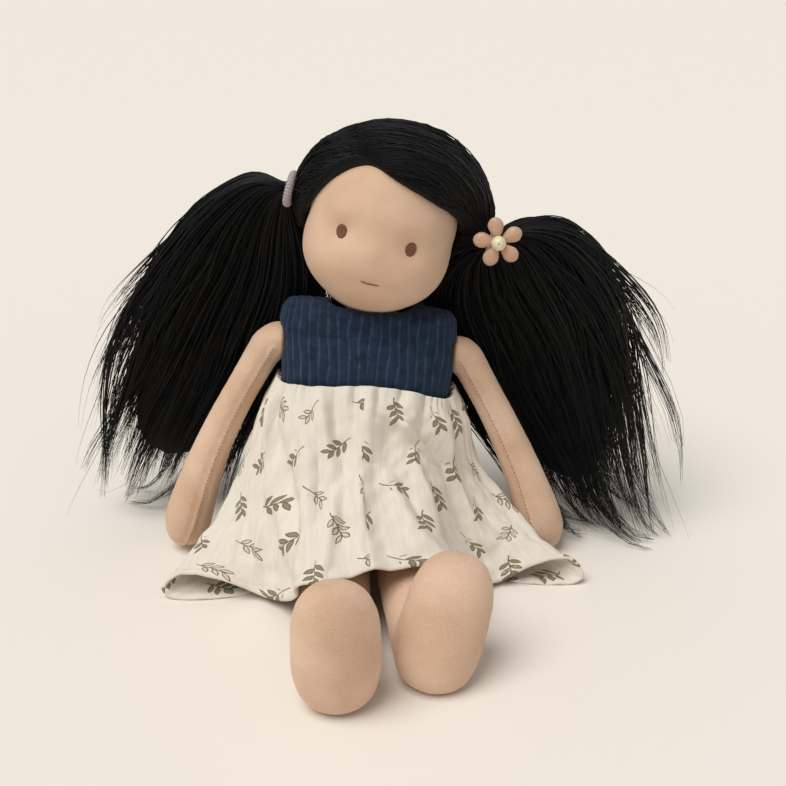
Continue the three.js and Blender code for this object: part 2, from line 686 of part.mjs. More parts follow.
function arm(word, side, { splay, forward, bow, tuck }) {
  const root = vec(side * (half(bodyWidth) + threadThickness + 2 * seatGap), 0, shoulderHeight);
  const bend = half(PI) - radians(splay);
  const elbow = armBendShares.map((share) => root.clone().add(vec(
    side * armBendRadius * sin(bend * share), 0, armBendRadius * (cos(bend * share) - 1),
  )));
  const direction = vec(side * sin(radians(splay)), -sin(radians(forward)), -cos(radians(splay))).normalize();
  const sleeve = sleeveShares.map((share) => elbow[elbow.length - 1].clone()
    .addScaledVector(direction, (armLength - tuck) * share)
    .addScaledVector(alongX, side * bow * sin(PI * share)));
  const fulls = sleeveFullShares.map((share, i) => mix(upperArmWidth, handWidth, share) * sleeveEndShares[i]);
  const wides = [...elbow.map(() => armRootRadius), ...fulls.map(half)];
  const deeps = wides.map((wide, i) => wide * (i < elbow.length ? 1 : armDepthShare));
  const loops = loopsAlong([...elbow, ...sleeve], alongY, deeps, wides, armSides);
  loops[0] = loop(root, vec(side, 0, 0), alongY, armRootRadius, armRootRadius, armSides);
  const mouthRadius = armRootRadius - 2 * skinWall;
  const rootMouth = new THREE.CylinderGeometry(mouthRadius, mouthRadius, 2 * skinWall + overrun, armSides);
  rootMouth.rotateZ(half(PI));
  rootMouth.translate(root.x - side * half(overrun), 0, shoulderHeight);
  body.add(...sewn(`arm_${word}`, (depthIn) => [bodyThrough(shrunk(loops, depthIn))], [rootMouth]));
  const threadAt = vec(side * (half(bodyWidth) + seatGap + half(threadThickness)), 0, shoulderHeight);
  body.add(piece(`shoulder_thread_${word}`, cordRing(threadAt, alongX, alongY,
    armRootRadius - threadThickness, half(threadThickness)), colours.thread));
}

arm('left', 1, leftArm);
arm('right', -1, rightArm);

// Legs: thin at the sewn hip fold, full at the thigh, with a long foot turned up at the end
const legSides = 12;
const legAlongShares = [0, 0.06, 0.14, 0.25, 0.45, 0.65, 0.8, 0.95];
const legDepthShares = [0, 0.34, 0.7, 0.95, 1, 0.93, 0.86, 0.7];
const legWidthShares = [0.86, 0.94, 0.99, 1, 0.97, 0.9, 0.86, 0.8];
const legLowShares = [0, 0.4, 0.8, 1, 1, 1, 1, 1];
const footUpShares = [0, 0.05, 0.14, 0.32, 0.52, 0.7, 0.84, 0.93, 0.98];
const footWideShares = [0.4, 0.66, 0.88, 1, 1, 0.96, 0.82, 0.6, 0.32];
const footDeepShares = [0.46, 0.74, 0.94, 1.04, 1, 0.94, 0.8, 0.58, 0.3];

// The loops of a leg's two closed bodies, flattened where they lie on the floor
function legForm(depthIn, { side, turn, lean, tip, tuck }) {
  const reach = legLength - tuck - half(footThickness);
  const leg = legAlongShares.map((share, i) => {
    const deep = mix(legRootDepth, thighDepth, legDepthShares[i]);
    const low = half(deep) - floorCut - hipHeight;
    const facing = alongY.clone().applyAxisAngle(alongZ, side * radians(turn) * (legLowShares[i] - 1));
    return loop(vec(0, -mix(legRootGap, reach, share), low * legLowShares[i]), facing, alongX,
      half(thighWidth) * legWidthShares[i], half(deep), legSides);
  });
  const up = vec(side * sin(radians(tip)), sin(radians(lean)), cos(radians(tip))).normalize();
  const heel = vec(0, -reach, -hipHeight - floorCut);
  const foot = footUpShares.map((share, i) => loop(
    heel.clone().addScaledVector(up, footLength * share), up, alongX,
    half(footWidth) * footWideShares[i], half(footThickness) * footDeepShares[i], legSides,
  ));
  const floor = new THREE.BoxGeometry(2 * legLength, 2 * legLength, legLength);
  floor.translate(0, -half(legLength), depthIn - hipHeight - half(legLength));
  const filled = depthIn > skinWall ? leg.slice(1) : leg;
  return [filled, foot].map((loops) => cut(bodyThrough(shrunk(loops, depthIn)), floor));
}

const hipY = -half(seatDepth) - seatGap - half(threadThickness);

function leg(word, pose) {
  const group = new THREE.Group();
  group.position.set(pose.side * half(hipSpacing), hipY, hipHeight);
  group.rotation.z = pose.side * radians(pose.turn);
  const rootMouth = new THREE.BoxGeometry(legMouthWidth, 2 * skinWall + overrun, legRootDepth - 2 * skinWall);
  rootMouth.translate(0, -legRootGap, 0);
  group.add(...sewn(`leg_${word}`, (depthIn) => legForm(depthIn, pose), [rootMouth]));
  doll.add(group);
}

leg('left', leftLeg);
leg('right', rightLeg);

// Hip threads: a zigzag row of stitches that holds each leg to the seat's front
const hipStitches = 10;
const stitchRiseShare = 0.5;

function hipThread(word, side) {
  const rowLength = thighWidth * legWidthShares[0] - 2 * threadThickness;
  const rise = half(legRootDepth - threadThickness) * stitchRiseShare;
  const row = range(hipStitches + 1).map((k) => vec(
    side * half(hipSpacing) + rowLength * (k / hipStitches - half(1)), hipY, hipHeight + rise * (k % 2 ? 1 : -1),
  ));
  const thick = row.map(() => half(threadThickness));
  return piece(`hip_thread_${word}`, bodyThrough(loopsAlong(row, alongZ, thick, thick, cordSides)), colours.thread);
}

doll.add(hipThread('left', 1), hipThread('right', -1));

// Skirt: gathered at the waist, over the lap, out into a wing at each side and round behind.
// Each row of shares is a line of cloth from waist to hem: its place round the waist, then where its
// hem and its middle lie, out, forward and up. The lower rows of a wing turn back along the floor.
const skirtRowShares = [
  [0, 0, 1, 1, 0, 0.44, 0.57],
  [0.09, 0.17, 1, 1, 0.3, 0.44, 0.58],
  [0.18, 0.31, 0.96, 0.92, 0.56, 0.44, 0.58],
  [0.26, 0.42, 0.74, 0.36, 0.86, 0.42, 0.54],
  [0.34, 0.55, 0.56, 0.08, 1.18, 0.31, 0.36],
  [0.42, 0.73, 0.54, 0.29, 1.46, 0.24, 0.32],
  [0.48, 0.89, 0.51, 0.34, 1.62, 0.17, 0.24],
  [0.53, 1, 0.52, 0.16, 1.64, 0.1, 0.18],
  [0.57, 0.95, 0.54, 0.02, 1.4, 0, 0.12],
  [0.62, 0.78, 0.54, 0.02, 1.16, -0.12, 0.12],
  [0.67, 0.6, 0.48, 0.02, 1.06, -0.19, 0.14],
  [0.73, 0.5, 0.26, 0.02, 1.08, -0.24, 0.16],
  [0.79, 0.49, -0.05, 0.02, 1.12, -0.34, 0.24],
  [0.86, 0.42, -0.37, 0.02, 0.96, -0.52, 0.28],
  [0.93, 0.24, -0.62, 0.02, 0.56, -0.64, 0.3],
  [1, 0, -0.72, 0.02, 0, -0.68, 0.3],
];
const lapSkewShares = [0, 0.5, 0.9, 0.8, 0.6, 0.6, 0.6, 0.6, 0.6, 0.6, 0.5, 0.3, 0, 0, 0, 0];
const lapShiftShares = [0.4, 0.6, 1, 1.2, 1.2, 0.8, 0.5, 0.5, 0.5, 0.5, 0.8, 0.4, 0, 0, 0, 0];
const skirtRounds = 4 * skirtFolds;
const skirtSteps = 8;
const foldFadeShare = 0.5;

function skirtLine(roundShare) {
  const side = roundShare <= half(1) ? 1 : -1;
  const along = 1 - abs(1 - 2 * roundShare);
  const [waist, outHem, onHem, upHem, outMid, onMid, upMid] = range(skirtRowShares[0].length)
    .map((column) => smoothAt(skirtRowShares.map((row) => row[column]), along));
  const skew = side * lapSkew * smoothAt(lapSkewShares, along);
  const shift = lapShift * smoothAt(lapShiftShares, along);
  const clearance = waistEase + half(skirtWall);
  const waistPoint = outlinePoint(PI * waist - half(PI), bodyHalfWidthAt(waistHeight) + clearance,
    bodyHalfDepthAt(waistHeight) + clearance, bodySquarenessShare);
  const top = body.localToWorld(vec(side * waistPoint.x, waistPoint.y, waistHeight - half(skirtWall) - seatGap));
  const middle = vec(
    side * half(bodyWidth) * outMid + foldSideways, half(skew) - lapReach * onMid, top.z * upMid,
  );
  const hem = vec(
    side * wingReach * outHem + shift, skew - lapReach * onHem, max(lapHeight * upHem, half(skirtWall)),
  );
  return new THREE.QuadraticBezierCurve3(top, middle, hem);
}

// The rows of the skirt's middle surface, with folds that grow below the waist and flatten on the floor
function skirtSheet() {
  const lines = range(skirtRounds).map((k) => skirtLine(k / skirtRounds));
  const base = range(skirtSteps + 1).map((i) => lines.map((line) => line.getPoint(i / skirtSteps)));
  const outer = inset(base, -skirtFoldDepth);
  return base.map((points, i) => points.map((p, k) => {
    const fold = max(0, cos(wholeTurn * skirtFolds * k / skirtRounds)) * smoothAt([0, 1, 1], i / skirtSteps);
    return p.clone().lerp(outer[i][k], fold * min(1, p.z / (lapHeight * foldFadeShare)));
  }));
}

const sheet = skirtSheet();
const skirtLayers = [inset(sheet, -half(skirtWall)), inset(sheet, half(skirtWall)).reverse()];
skirtLayers.flat(2).forEach((p) => p.setZ(max(p.z, 0)));
doll.add(piece('skirt', bodyThrough(skirtLayers.flat(), true), colours.skirt));

// Flower: five puffed petals round a bead, on a shank tied to the left tie
const flower = new THREE.Group();
const flowerStart = leftTie.clone().add(vec(flowerSideways, -headDepth, flowerRise));
const shankRim = loop(flowerStart, alongY, alongX, half(shankDiameter), half(shankDiameter), domeSides);
flower.position.copy(flowerStart)
  .addScaledVector(alongY, runTo(leftTieRing, [flowerStart, ...shankRim], alongY) - seatGap);
head.add(flower, leftTieRing, rightTieRing, hairCap);
const beadForward = shankLength + flowerLift;
const beadBall = (clearance) => new THREE.SphereGeometry(
  half(beadDiameter) + clearance, domeSides, half(domeSides),
).translate(0, -beadForward, 0);
const petalSegments = 10;
const petalRings = 6;

function petal(k) {
  const shape = new THREE.SphereGeometry(half(1), petalSegments, petalRings);
  shape.scale(petalLength, petalThickness, petalWidth);
  shape.translate(petalRingRadius, -shankLength, 0);
  shape.rotateY(wholeTurn * k / petalCount + half(PI));
  return piece(`flower_petal_${k + 1}`, cut(shape, beadBall(seatGap)), colours.petal, 0.7);
}

flower.add(...range(petalCount).map(petal), piece('flower_bead', beadBall(0), colours.bead, 0.5));
const shankRun = beadForward - half(beadDiameter) - seatGap;
const shank = new THREE.CylinderGeometry(half(shankDiameter), half(shankDiameter), shankRun, domeSides);
shank.translate(0, -half(shankRun), 0);
flower.add(piece('flower_shank', shank, colours.thread));

export default doll;
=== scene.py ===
"""A seated waldorf doll in a corduroy and gauze dress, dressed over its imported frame.

Sizes are in millimetres in the frame's own axes: +Z is up, the doll faces -Y and its left hand is on the
+X side. Meshes turn to metres when they are made.
"""
import logging
import math
from dataclasses import dataclass, field
from enum import Enum
from typing import Any, Sequence

import bpy
import numpy as np
from mathutils import Matrix, Vector
from mathutils.bvhtree import BVHTree


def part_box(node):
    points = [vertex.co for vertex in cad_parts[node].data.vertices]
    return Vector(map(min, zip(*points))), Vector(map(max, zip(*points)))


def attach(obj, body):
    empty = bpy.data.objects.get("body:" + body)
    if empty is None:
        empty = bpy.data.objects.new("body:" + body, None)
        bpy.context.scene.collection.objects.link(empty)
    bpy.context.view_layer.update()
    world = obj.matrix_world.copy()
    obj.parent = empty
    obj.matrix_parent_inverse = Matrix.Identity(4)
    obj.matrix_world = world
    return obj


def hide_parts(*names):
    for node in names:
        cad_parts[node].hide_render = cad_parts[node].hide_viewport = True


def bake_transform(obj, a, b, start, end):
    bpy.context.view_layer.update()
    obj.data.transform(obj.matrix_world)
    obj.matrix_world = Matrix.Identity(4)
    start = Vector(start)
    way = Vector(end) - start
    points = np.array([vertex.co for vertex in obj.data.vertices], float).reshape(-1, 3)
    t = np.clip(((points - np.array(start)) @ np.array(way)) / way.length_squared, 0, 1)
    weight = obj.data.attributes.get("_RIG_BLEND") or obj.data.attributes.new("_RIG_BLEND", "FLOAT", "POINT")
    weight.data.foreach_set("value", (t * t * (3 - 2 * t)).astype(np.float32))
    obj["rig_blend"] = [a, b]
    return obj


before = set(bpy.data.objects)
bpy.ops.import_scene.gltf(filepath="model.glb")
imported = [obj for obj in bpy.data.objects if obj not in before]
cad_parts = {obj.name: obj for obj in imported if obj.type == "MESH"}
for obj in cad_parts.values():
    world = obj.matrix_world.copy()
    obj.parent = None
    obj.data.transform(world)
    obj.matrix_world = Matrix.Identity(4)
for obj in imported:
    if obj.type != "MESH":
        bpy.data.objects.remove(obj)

LOG = logging.getLogger("doll")
MM = 0.001
TURN = 2 * math.pi
Array = np.ndarray


# Places and sections

def vec(x: float, y: float, z: float) -> Array:
    """A point or direction of three numbers."""
    return np.array([x, y, z], float)


ACROSS, DEEP, UP = vec(1, 0, 0), vec(0, 1, 0), vec(0, 0, 1)


def unit(rows: Array) -> Array:
    """The same directions with a length of one."""
    return rows / np.maximum(np.linalg.norm(rows, axis=-1, keepdims=True), 1e-9)


def turned(axis: str, degrees: float) -> Array:
    """A turn about one of the three axes.

    Args:
        axis: The letter of the axis.
        degrees: How far it turns.

    Returns:
        The turn as a matrix of three columns.
    """
    return np.array(Matrix.Rotation(math.radians(degrees), 3, axis))


@dataclass(frozen=True)
class Place:
    """Where a part of the doll sits: an origin, and its own three axes as columns."""

    origin: Array
    axes: Array

    def world(self, points: Array) -> Array:
        """Local points in the frame's axes."""
        return points @ self.axes.T + self.origin

    def local(self, points: Array) -> Array:
        """The frame's points in this place's own axes."""
        return (points - self.origin) @ self.axes

    def way(self, directions: Array) -> Array:
        """Local directions in the frame's axes."""
        return directions @ self.axes.T


def centre_of(node: str) -> Array:
    """The middle of a node's box in millimetres."""
    low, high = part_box(node)
    return (np.array(low) + np.array(high)) / 2 / MM


def smooth_at(values: Sequence, share: Any) -> Array:
    """Values between the entries of an evenly spaced list, joined smoothly.

    Args:
        values: The list's entries, numbers or rows of numbers.
        share: The place or places from 0 to 1.

    Returns:
        One entry for each place.
    """
    table = np.asarray(values, float)
    place = np.clip(np.asarray(share, float), 0, 1) * (len(table) - 1)
    k = np.minimum(place.astype(int), len(table) - 2)
    f = place - k
    f = f.reshape(f.shape + (1,) * (table.ndim - 1))
    before, here, after, later = (table[np.clip(k + step, 0, len(table) - 1)] for step in (-1, 0, 1, 2))
    slope_in, slope_out = (after - before) / 2, (later - here) / 2
    return (here * (2 * f**3 - 3 * f**2 + 1) + slope_in * (f**3 - 2 * f**2 + f)
            + after * (3 * f**2 - 2 * f**3) + slope_out * (f**3 - f**2))


def mix(low: Any, high: Any, share: Any) -> Any:
    """A value between two others."""
    return low + (high - low) * share


def eased(low: float, high: float, value: Any) -> Any:
    """A share that turns smoothly from 0 at low to 1 at high."""
    share = np.clip((np.asarray(value, float) - low) / (high - low), 0, 1)
    return share * share * (3 - 2 * share)


def bump(value: Any, centre: float, width: float) -> Any:
    """A bell of height one about a centre."""
    return np.exp(-(((np.asarray(value, float) - centre) / width) ** 2))


def outline(angle: Array, half_wide: Any, half_deep: Any, squareness: Any = 1.0) -> tuple[Array, Array]:
    """Points of a rounded outline about the origin.

    Args:
        angle: The points' angles.
        half_wide: Half the outline's width.
        half_deep: Half its depth.
        squareness: 1 for an ellipse and less for a box.

    Returns:
        The points' places across and along.
    """
    u = np.sign(np.cos(angle)) * np.abs(np.cos(angle)) ** squareness
    v = np.sign(np.sin(angle)) * np.abs(np.sin(angle)) ** squareness
    return half_wide * u, half_deep * v


def ring(centre: Array, tangent: Array, reference: Array, half_wide: float, half_deep: float, sides: int,
         squareness: float = 1.0) -> Array:
    """One loop of points round a spine.

    Args:
        centre: The middle of the loop.
        tangent: The spine's direction there.
        reference: The direction that the width runs along.
        half_wide: Half the width.
        half_deep: Half the depth.
        sides: How many points the loop has.
        squareness: 1 for an ellipse and less for a box.

    Returns:
        The loop's points.
    """
    t = unit(tangent)
    a = unit(reference - t * np.dot(reference, t))
    b = np.cross(t, a)
    u, v = outline(TURN * np.arange(sides) / sides, half_wide, half_deep, squareness)
    return centre + u[:, None] * a + v[:, None] * b


def level_ring(height: float, half_wide: float, half_deep: float, sides: int,
               squareness: float = 1.0) -> Array:
    """One level loop of points about the upright axis, as ring gives it."""
    return ring(vec(0, 0, height), UP, ACROSS, half_wide, half_deep, sides, squareness)


def rings_along(centres: Array, reference: Array, half_wides: Array, half_deeps: Array, sides: int) -> Array:
    """Loops round a list of centres, each square to the line through its neighbours.

    Args:
        centres: The loops' middles.
        reference: The direction that the widths run along.
        half_wides: Half of each loop's width.
        half_deeps: Half of each loop's depth.
        sides: How many points a loop has.

    Returns:
        The loops.
    """
    tangents = np.gradient(centres, axis=0)
    return np.array([ring(c, t, reference, w, d, sides)
                     for c, t, w, d in zip(centres, tangents, half_wides, half_deeps)])


def grid_normals(grid: Array) -> Array:
    """The normals of rows of points that each close on themselves.

    Args:
        grid: The rows.

    Returns:
        One normal for each point.
    """
    around = np.roll(grid, -1, axis=1) - np.roll(grid, 1, axis=1)
    along = np.gradient(grid, axis=0)
    return unit(np.cross(around, along))


def outward_normals(grid: Array) -> Array:
    """The same normals, all turned away from the rows' middles.

    Args:
        grid: The rows.

    Returns:
        One normal for each point.
    """
    normals = grid_normals(grid)
    middles = grid.mean(axis=1, keepdims=True)
    return normals if (normals * (grid - middles)).sum() > 0 else -normals


# Meshes

def strip_faces(rows: int, columns: int, closed: bool = True, looped: bool = False) -> list[tuple[int, ...]]:
    """Four-sided faces between rows of points.

    Args:
        rows: How many rows there are.
        columns: How many points a row has.
        closed: Whether each row closes on itself.
        looped: Whether the last row joins the first.

    Returns:
        The faces' corners.
    """
    i, k = np.meshgrid(np.arange(rows if looped else rows - 1), np.arange(columns if closed else columns - 1),
                       indexing="ij")
    low, high, after = i * columns, ((i + 1) % rows) * columns, (k + 1) % columns
    quads = np.stack([low + k, low + after, high + after, high + k], axis=-1).reshape(-1, 4)
    return [tuple(quad) for quad in quads.tolist()]


def outward(points: Array, faces: list[tuple[int, ...]]) -> list[tuple[int, ...]]:
    """The faces of a closed body, turned round if they point inwards.

    Args:
        points: The body's points.
        faces: The corners of its faces, three or four each.

    Returns:
        The faces' corners, seen from outside in one order.
    """
    volume = 0.0
    for size in (3, 4):
        part = np.array([f for f in faces if len(f) == size], int).reshape(-1, size)
        for step in range(1, size - 1):
            a, b, c = points[part[:, 0]], points[part[:, step]], points[part[:, step + 1]]
            volume += float((a * np.cross(b, c)).sum())
    return faces if volume > 0 else [tuple(reversed(f)) for f in faces]


def shade_smooth(made: bpy.types.Object) -> None:
    """Shades an object's faces smoothly."""
    made.data.polygons.foreach_set("use_smooth", [True] * len(made.data.polygons))


def make_object(name: str, points: Array, faces: list[tuple[int, ...]], material: bpy.types.Material | None,
                ) -> bpy.types.Object:
    """A smooth mesh object at the origin.

    Args:
        name: The piece's name.
        points: Its points in millimetres.
        faces: The corners of each face.
        material: Its finish, or None for a piece that only helps to make another.

    Returns:
        The object, linked to the scene.
    """
    mesh = bpy.data.meshes.new(name)
    mesh.from_pydata((np.asarray(points, float) * MM).tolist(), [], faces)
    mesh.validate()
    made = bpy.data.objects.new(name, mesh)
    shade_smooth(made)
    bpy.context.collection.objects.link(made)
    if material is not None:
        mesh.materials.append(material)
    return made


def body_through(loops: Array) -> tuple[Array, list[tuple[int, ...]]]:
    """A closed body through loops of points, with a middle point in each end.

    Args:
        loops: The loops, as loop, point and axis.

    Returns:
        The body's points and the corners of its faces.
    """
    rows, sides = loops.shape[:2]
    points = np.concatenate([loops.reshape(-1, 3), [loops[0].mean(0)], [loops[-1].mean(0)]])
    faces = strip_faces(rows, sides)
    start, last = rows * sides, (rows - 1) * sides
    for k in range(sides):
        after = (k + 1) % sides
        faces += [(start, after, k), (start + 1, last + k, last + after)]
    return points, outward(points, faces)


def points_of(made: bpy.types.Object) -> Array:
    """An object's points in millimetres.

    Args:
        made: The object.

    Returns:
        Its points, one row each.
    """
    flat = np.empty(len(made.data.vertices) * 3, np.float32)
    made.data.vertices.foreach_get("co", flat)
    return flat.reshape(-1, 3).astype(float) / MM


def move_points(made: bpy.types.Object, points: Array) -> None:
    """Sets an object's points, given in millimetres."""
    made.data.vertices.foreach_set("co", (points * MM).astype(np.float32).ravel())
    made.data.update()


def tree_of(made: bpy.types.Object) -> BVHTree:
    """A search tree over an object's mesh, in millimetres."""
    faces = [tuple(polygon.vertices) for polygon in made.data.polygons]
    return BVHTree.FromPolygons(points_of(made).tolist(), faces)


def settled(made: bpy.types.Object) -> bpy.types.Object:
    """Turns an object's live modifiers into its plain mesh.

    Args:
        made: The object.

    Returns:
        The same object.
    """
    graph = bpy.context.evaluated_depsgraph_get()
    graph.update()
    result = bpy.data.meshes.new_from_object(made.evaluated_get(graph), preserve_all_data_layers=True,
                                             depsgraph=graph)
    made.modifiers.clear()
    made.data = result
    return made


def refined(made: bpy.types.Object, levels: int) -> bpy.types.Object:
    """Adds rounds of subdivision to an object and settles them.

    Args:
        made: The object.
        levels: How many rounds.

    Returns:
        The same object.
    """
    modifier = made.modifiers.new("smooth", "SUBSURF")
    modifier.levels = modifier.render_levels = levels
    return settled(made)


def node_copy(node: str, name: str) -> bpy.types.Object:
    """A merged copy of a CAD node's mesh.

    Args:
        node: The node's name.
        name: The copy's name.

    Returns:
        The copy, without a material.
    """
    made = bpy.data.objects.new(name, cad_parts[node].data.copy())
    bpy.context.collection.objects.link(made)
    made.data.materials.clear()
    weld = made.modifiers.new("weld", "WELD")
    weld.merge_threshold = 0.00002
    settled(made)
    shade_smooth(made)
    return made


def add_attribute(made: bpy.types.Object, name: str, values: Array) -> None:
    """Stores one number for each point of a mesh."""
    layer = made.data.attributes.new(name, "FLOAT", "POINT")
    layer.data.foreach_set("value", np.asarray(values, np.float32))


def dispose(made: bpy.types.Object) -> None:
    """Removes a helper object and its mesh.

    Args:
        made: The object.
    """
    mesh = made.data
    bpy.data.objects.remove(made)
    bpy.data.meshes.remove(mesh)


# Soft filling

@dataclass(frozen=True)
class Filling:
    """How a sewn bag is stuffed: the cloth's grid, the push from inside and the most that it may swell."""

    voxel: float = 2.3
    pressure: float = 4.0
    swell: float = 1.4
    frames: int = 18
    smooth_levels: int = 1

    def stuff(self, made: bpy.types.Object, floor: float | None = None) -> bpy.types.Object:
        """Remeshes a bag, blows it up as cloth and settles the result.

        Args:
            made: The bag as a closed form, a little smaller than it should end.
            floor: The height that it rests on, or None where it rests on nothing.

        Returns:
            The same object with its final mesh.
        """
        remesh = made.modifiers.new("remesh", "REMESH")
        remesh.mode = "VOXEL"
        remesh.voxel_size = self.voxel * MM
        remesh.use_smooth_shade = True
        settled(made)
        relax = made.modifiers.new("relax", "SMOOTH")
        relax.factor, relax.iterations = 0.5, 1
        settled(made)
        self.blow(made)
        refined(made, self.smooth_levels)
        shade_smooth(made)
        if floor is not None:
            points = points_of(made)
            points[:, 2] = np.maximum(points[:, 2], floor)
            move_points(made, points)
        return made

    def blow(self, made: bpy.types.Object) -> None:
        """Runs the cloth with its inner pressure and caps how far each point moves.

        Args:
            made: The bag.
        """
        before = points_of(made)
        cloth = made.modifiers.new("cloth", "CLOTH")
        cloth.settings.quality = 6
        cloth.settings.mass = 0.2
        cloth.settings.tension_stiffness = cloth.settings.compression_stiffness = 20
        cloth.settings.bending_stiffness = 1.5
        cloth.settings.use_pressure = True
        cloth.settings.uniform_pressure_force = self.pressure
        cloth.settings.effector_weights.gravity = 0
        cloth.point_cache.frame_start, cloth.point_cache.frame_end = 1, self.frames
        scene = bpy.context.scene
        for number in range(1, self.frames + 1):
            scene.frame_set(number)
        settled(made)
        scene.frame_set(1)
        move = points_of(made) - before
        length = np.linalg.norm(move, axis=1, keepdims=True)
        move_points(made, before + move * np.minimum(1, self.swell / np.maximum(length, 1e-9)))


# Finishes

def linear(colour: str) -> tuple[float, float, float, float]:
    """An sRGB hex colour as the linear values that a shader takes."""
    parts = [int(colour[i:i + 2], 16) / 255 for i in (1, 3, 5)]
    return (*(c / 12.92 if c <= 0.04045 else ((c + 0.055) / 1.055) ** 2.4 for c in parts), 1.0)


def per_metre(size: float) -> float:
    """A noise or grid scale at which one feature is this many millimetres."""
    return 1 / (size * MM)


def wave_scale(pitch: float) -> float:
    """A wave texture's scale for one band each so many millimetres."""
    return math.pi / (10 * pitch * MM)


def wire(tree: bpy.types.NodeTree, kind: str, sockets: dict[Any, Any] | None = None, **settings: Any,
         ) -> bpy.types.Node:
    """Adds a node with its settings and links.

    Args:
        tree: The node tree.
        kind: The node's type.
        sockets: Input names or numbers, each with a value, with the output that feeds it, or with a node
            whose first output does.
        settings: The node's own properties.

    Returns:
        The new node.
    """
    made = tree.nodes.new(kind)
    for name, value in settings.items():
        setattr(made, name, value)
    for key, value in (sockets or {}).items():
        source = value.outputs[0] if isinstance(value, bpy.types.Node) else value
        if isinstance(source, bpy.types.NodeSocket):
            tree.links.new(source, made.inputs[key])
        else:
            made.inputs[key].default_value = source
    return made


def blank(name: str) -> tuple[bpy.types.Material, bpy.types.NodeTree]:
    """A new material with an empty node tree.

    Args:
        name: The material's name.

    Returns:
        The material and its tree.
    """
    material = bpy.data.materials.new(name)
    material.use_nodes = True
    material.node_tree.nodes.clear()
    return material, material.node_tree


def close_up(tree: bpy.types.NodeTree, colour: Any, height: Any, depth: float, strength: float,
             shader: dict[str, Any]) -> None:
    """Ends a material in its surface shader and its relief.

    Args:
        tree: The material's node tree.
        colour: The base colour's output or value.
        height: The output that gives the relief's height.
        depth: The relief's full height in millimetres.
        strength: The relief's strength.
        shader: The shader's other sockets.
    """
    relief = wire(tree, "ShaderNodeBump", {"Strength": strength, "Distance": depth * MM, "Height": height})
    surface = wire(tree, "ShaderNodeBsdfPrincipled", {"Base Color": colour, **shader,
                                                      "Normal": relief.outputs["Normal"]})
    wire(tree, "ShaderNodeOutputMaterial", {"Surface": surface.outputs["BSDF"]})


@dataclass(frozen=True)
class SkinCloth:
    """Brushed cotton knit, the doll's skin: soft and matt, with fine ribs of loops and a short pile.

    The ribs run along the axes that are given, so that they follow a head that is tipped.
    """

    name: str = "skin_cotton_knit"
    colour: str = "#DFBEA3"
    shade: str = "#D6B295"
    rib_pitch: float = 0.95   # a fine interlock has about 1.1 ribs a millimetre
    rib_depth: float = 0.12
    pile: float = 0.55        # the brushed pile's tufts, drawn a little coarse so that they show
    rib_share: float = 0.5
    rib_axes: Array | None = field(default=None, compare=False)
    sheen: float = 0.25

    def build(self) -> bpy.types.Material:
        """Makes the material.

        Returns:
            The material.
        """
        material, tree = blank(self.name)
        place = wire(tree, "ShaderNodeTexCoord").outputs["Object"]
        if self.rib_axes is not None:
            turn = Matrix(self.rib_axes.T.tolist()).to_euler()
            place = wire(tree, "ShaderNodeMapping", {"Vector": place, "Rotation": turn})
        patches = wire(tree, "ShaderNodeTexNoise", {"Vector": place, "Scale": per_metre(26), "Detail": 2.0})
        tufts = wire(tree, "ShaderNodeTexNoise", {"Vector": place, "Scale": per_metre(self.pile),
                                                  "Detail": 3.0})
        wander = wire(tree, "ShaderNodeTexWave", {
            "Vector": place, "Scale": wave_scale(self.rib_pitch), "Distortion": 1.2, "Detail": 1.5,
            "Detail Scale": 0.25}, bands_direction="X")
        loops = wire(tree, "ShaderNodeTexWave", {
            "Vector": place, "Scale": wave_scale(self.rib_pitch * 0.8), "Distortion": 1.5, "Detail": 1.0,
            "Detail Scale": 0.3}, bands_direction="Z")
        knit = wire(tree, "ShaderNodeMix", {0: 0.35, 2: wander.outputs[1], 3: loops.outputs[1]},
                    data_type="FLOAT")
        height = wire(tree, "ShaderNodeMix", {0: 1 - self.rib_share, 2: knit, 3: tufts}, data_type="FLOAT")
        patch = wire(tree, "ShaderNodeMapRange", {0: patches, 1: 0.35, 2: 0.65, 3: 0.0, 4: 1.0})
        ground = wire(tree, "ShaderNodeMix", {0: patch, 6: linear(self.shade), 7: linear(self.colour)},
                      data_type="RGBA")
        # The grain follows the knit's relief: painted shade in the grooves of the ribs and tufts, and painted
        # light on their tops.
        grain = wire(tree, "ShaderNodeMapRange", {0: height, 1: 0.25, 2: 0.75, 3: 0.9, 4: 1.07})
        toned = wire(tree, "ShaderNodeMix", {0: 1.0, 6: ground.outputs[2], 7: grain},
                     data_type="RGBA", blend_type="MULTIPLY")
        close_up(tree, toned.outputs[2], height, self.rib_depth, 0.5,
                 {"Roughness": 0.92, "Sheen Weight": self.sheen, "Sheen Roughness": 0.5,
                  "Sheen Tint": linear("#FFE9D6"), "Specular IOR Level": 0.25})
        return material


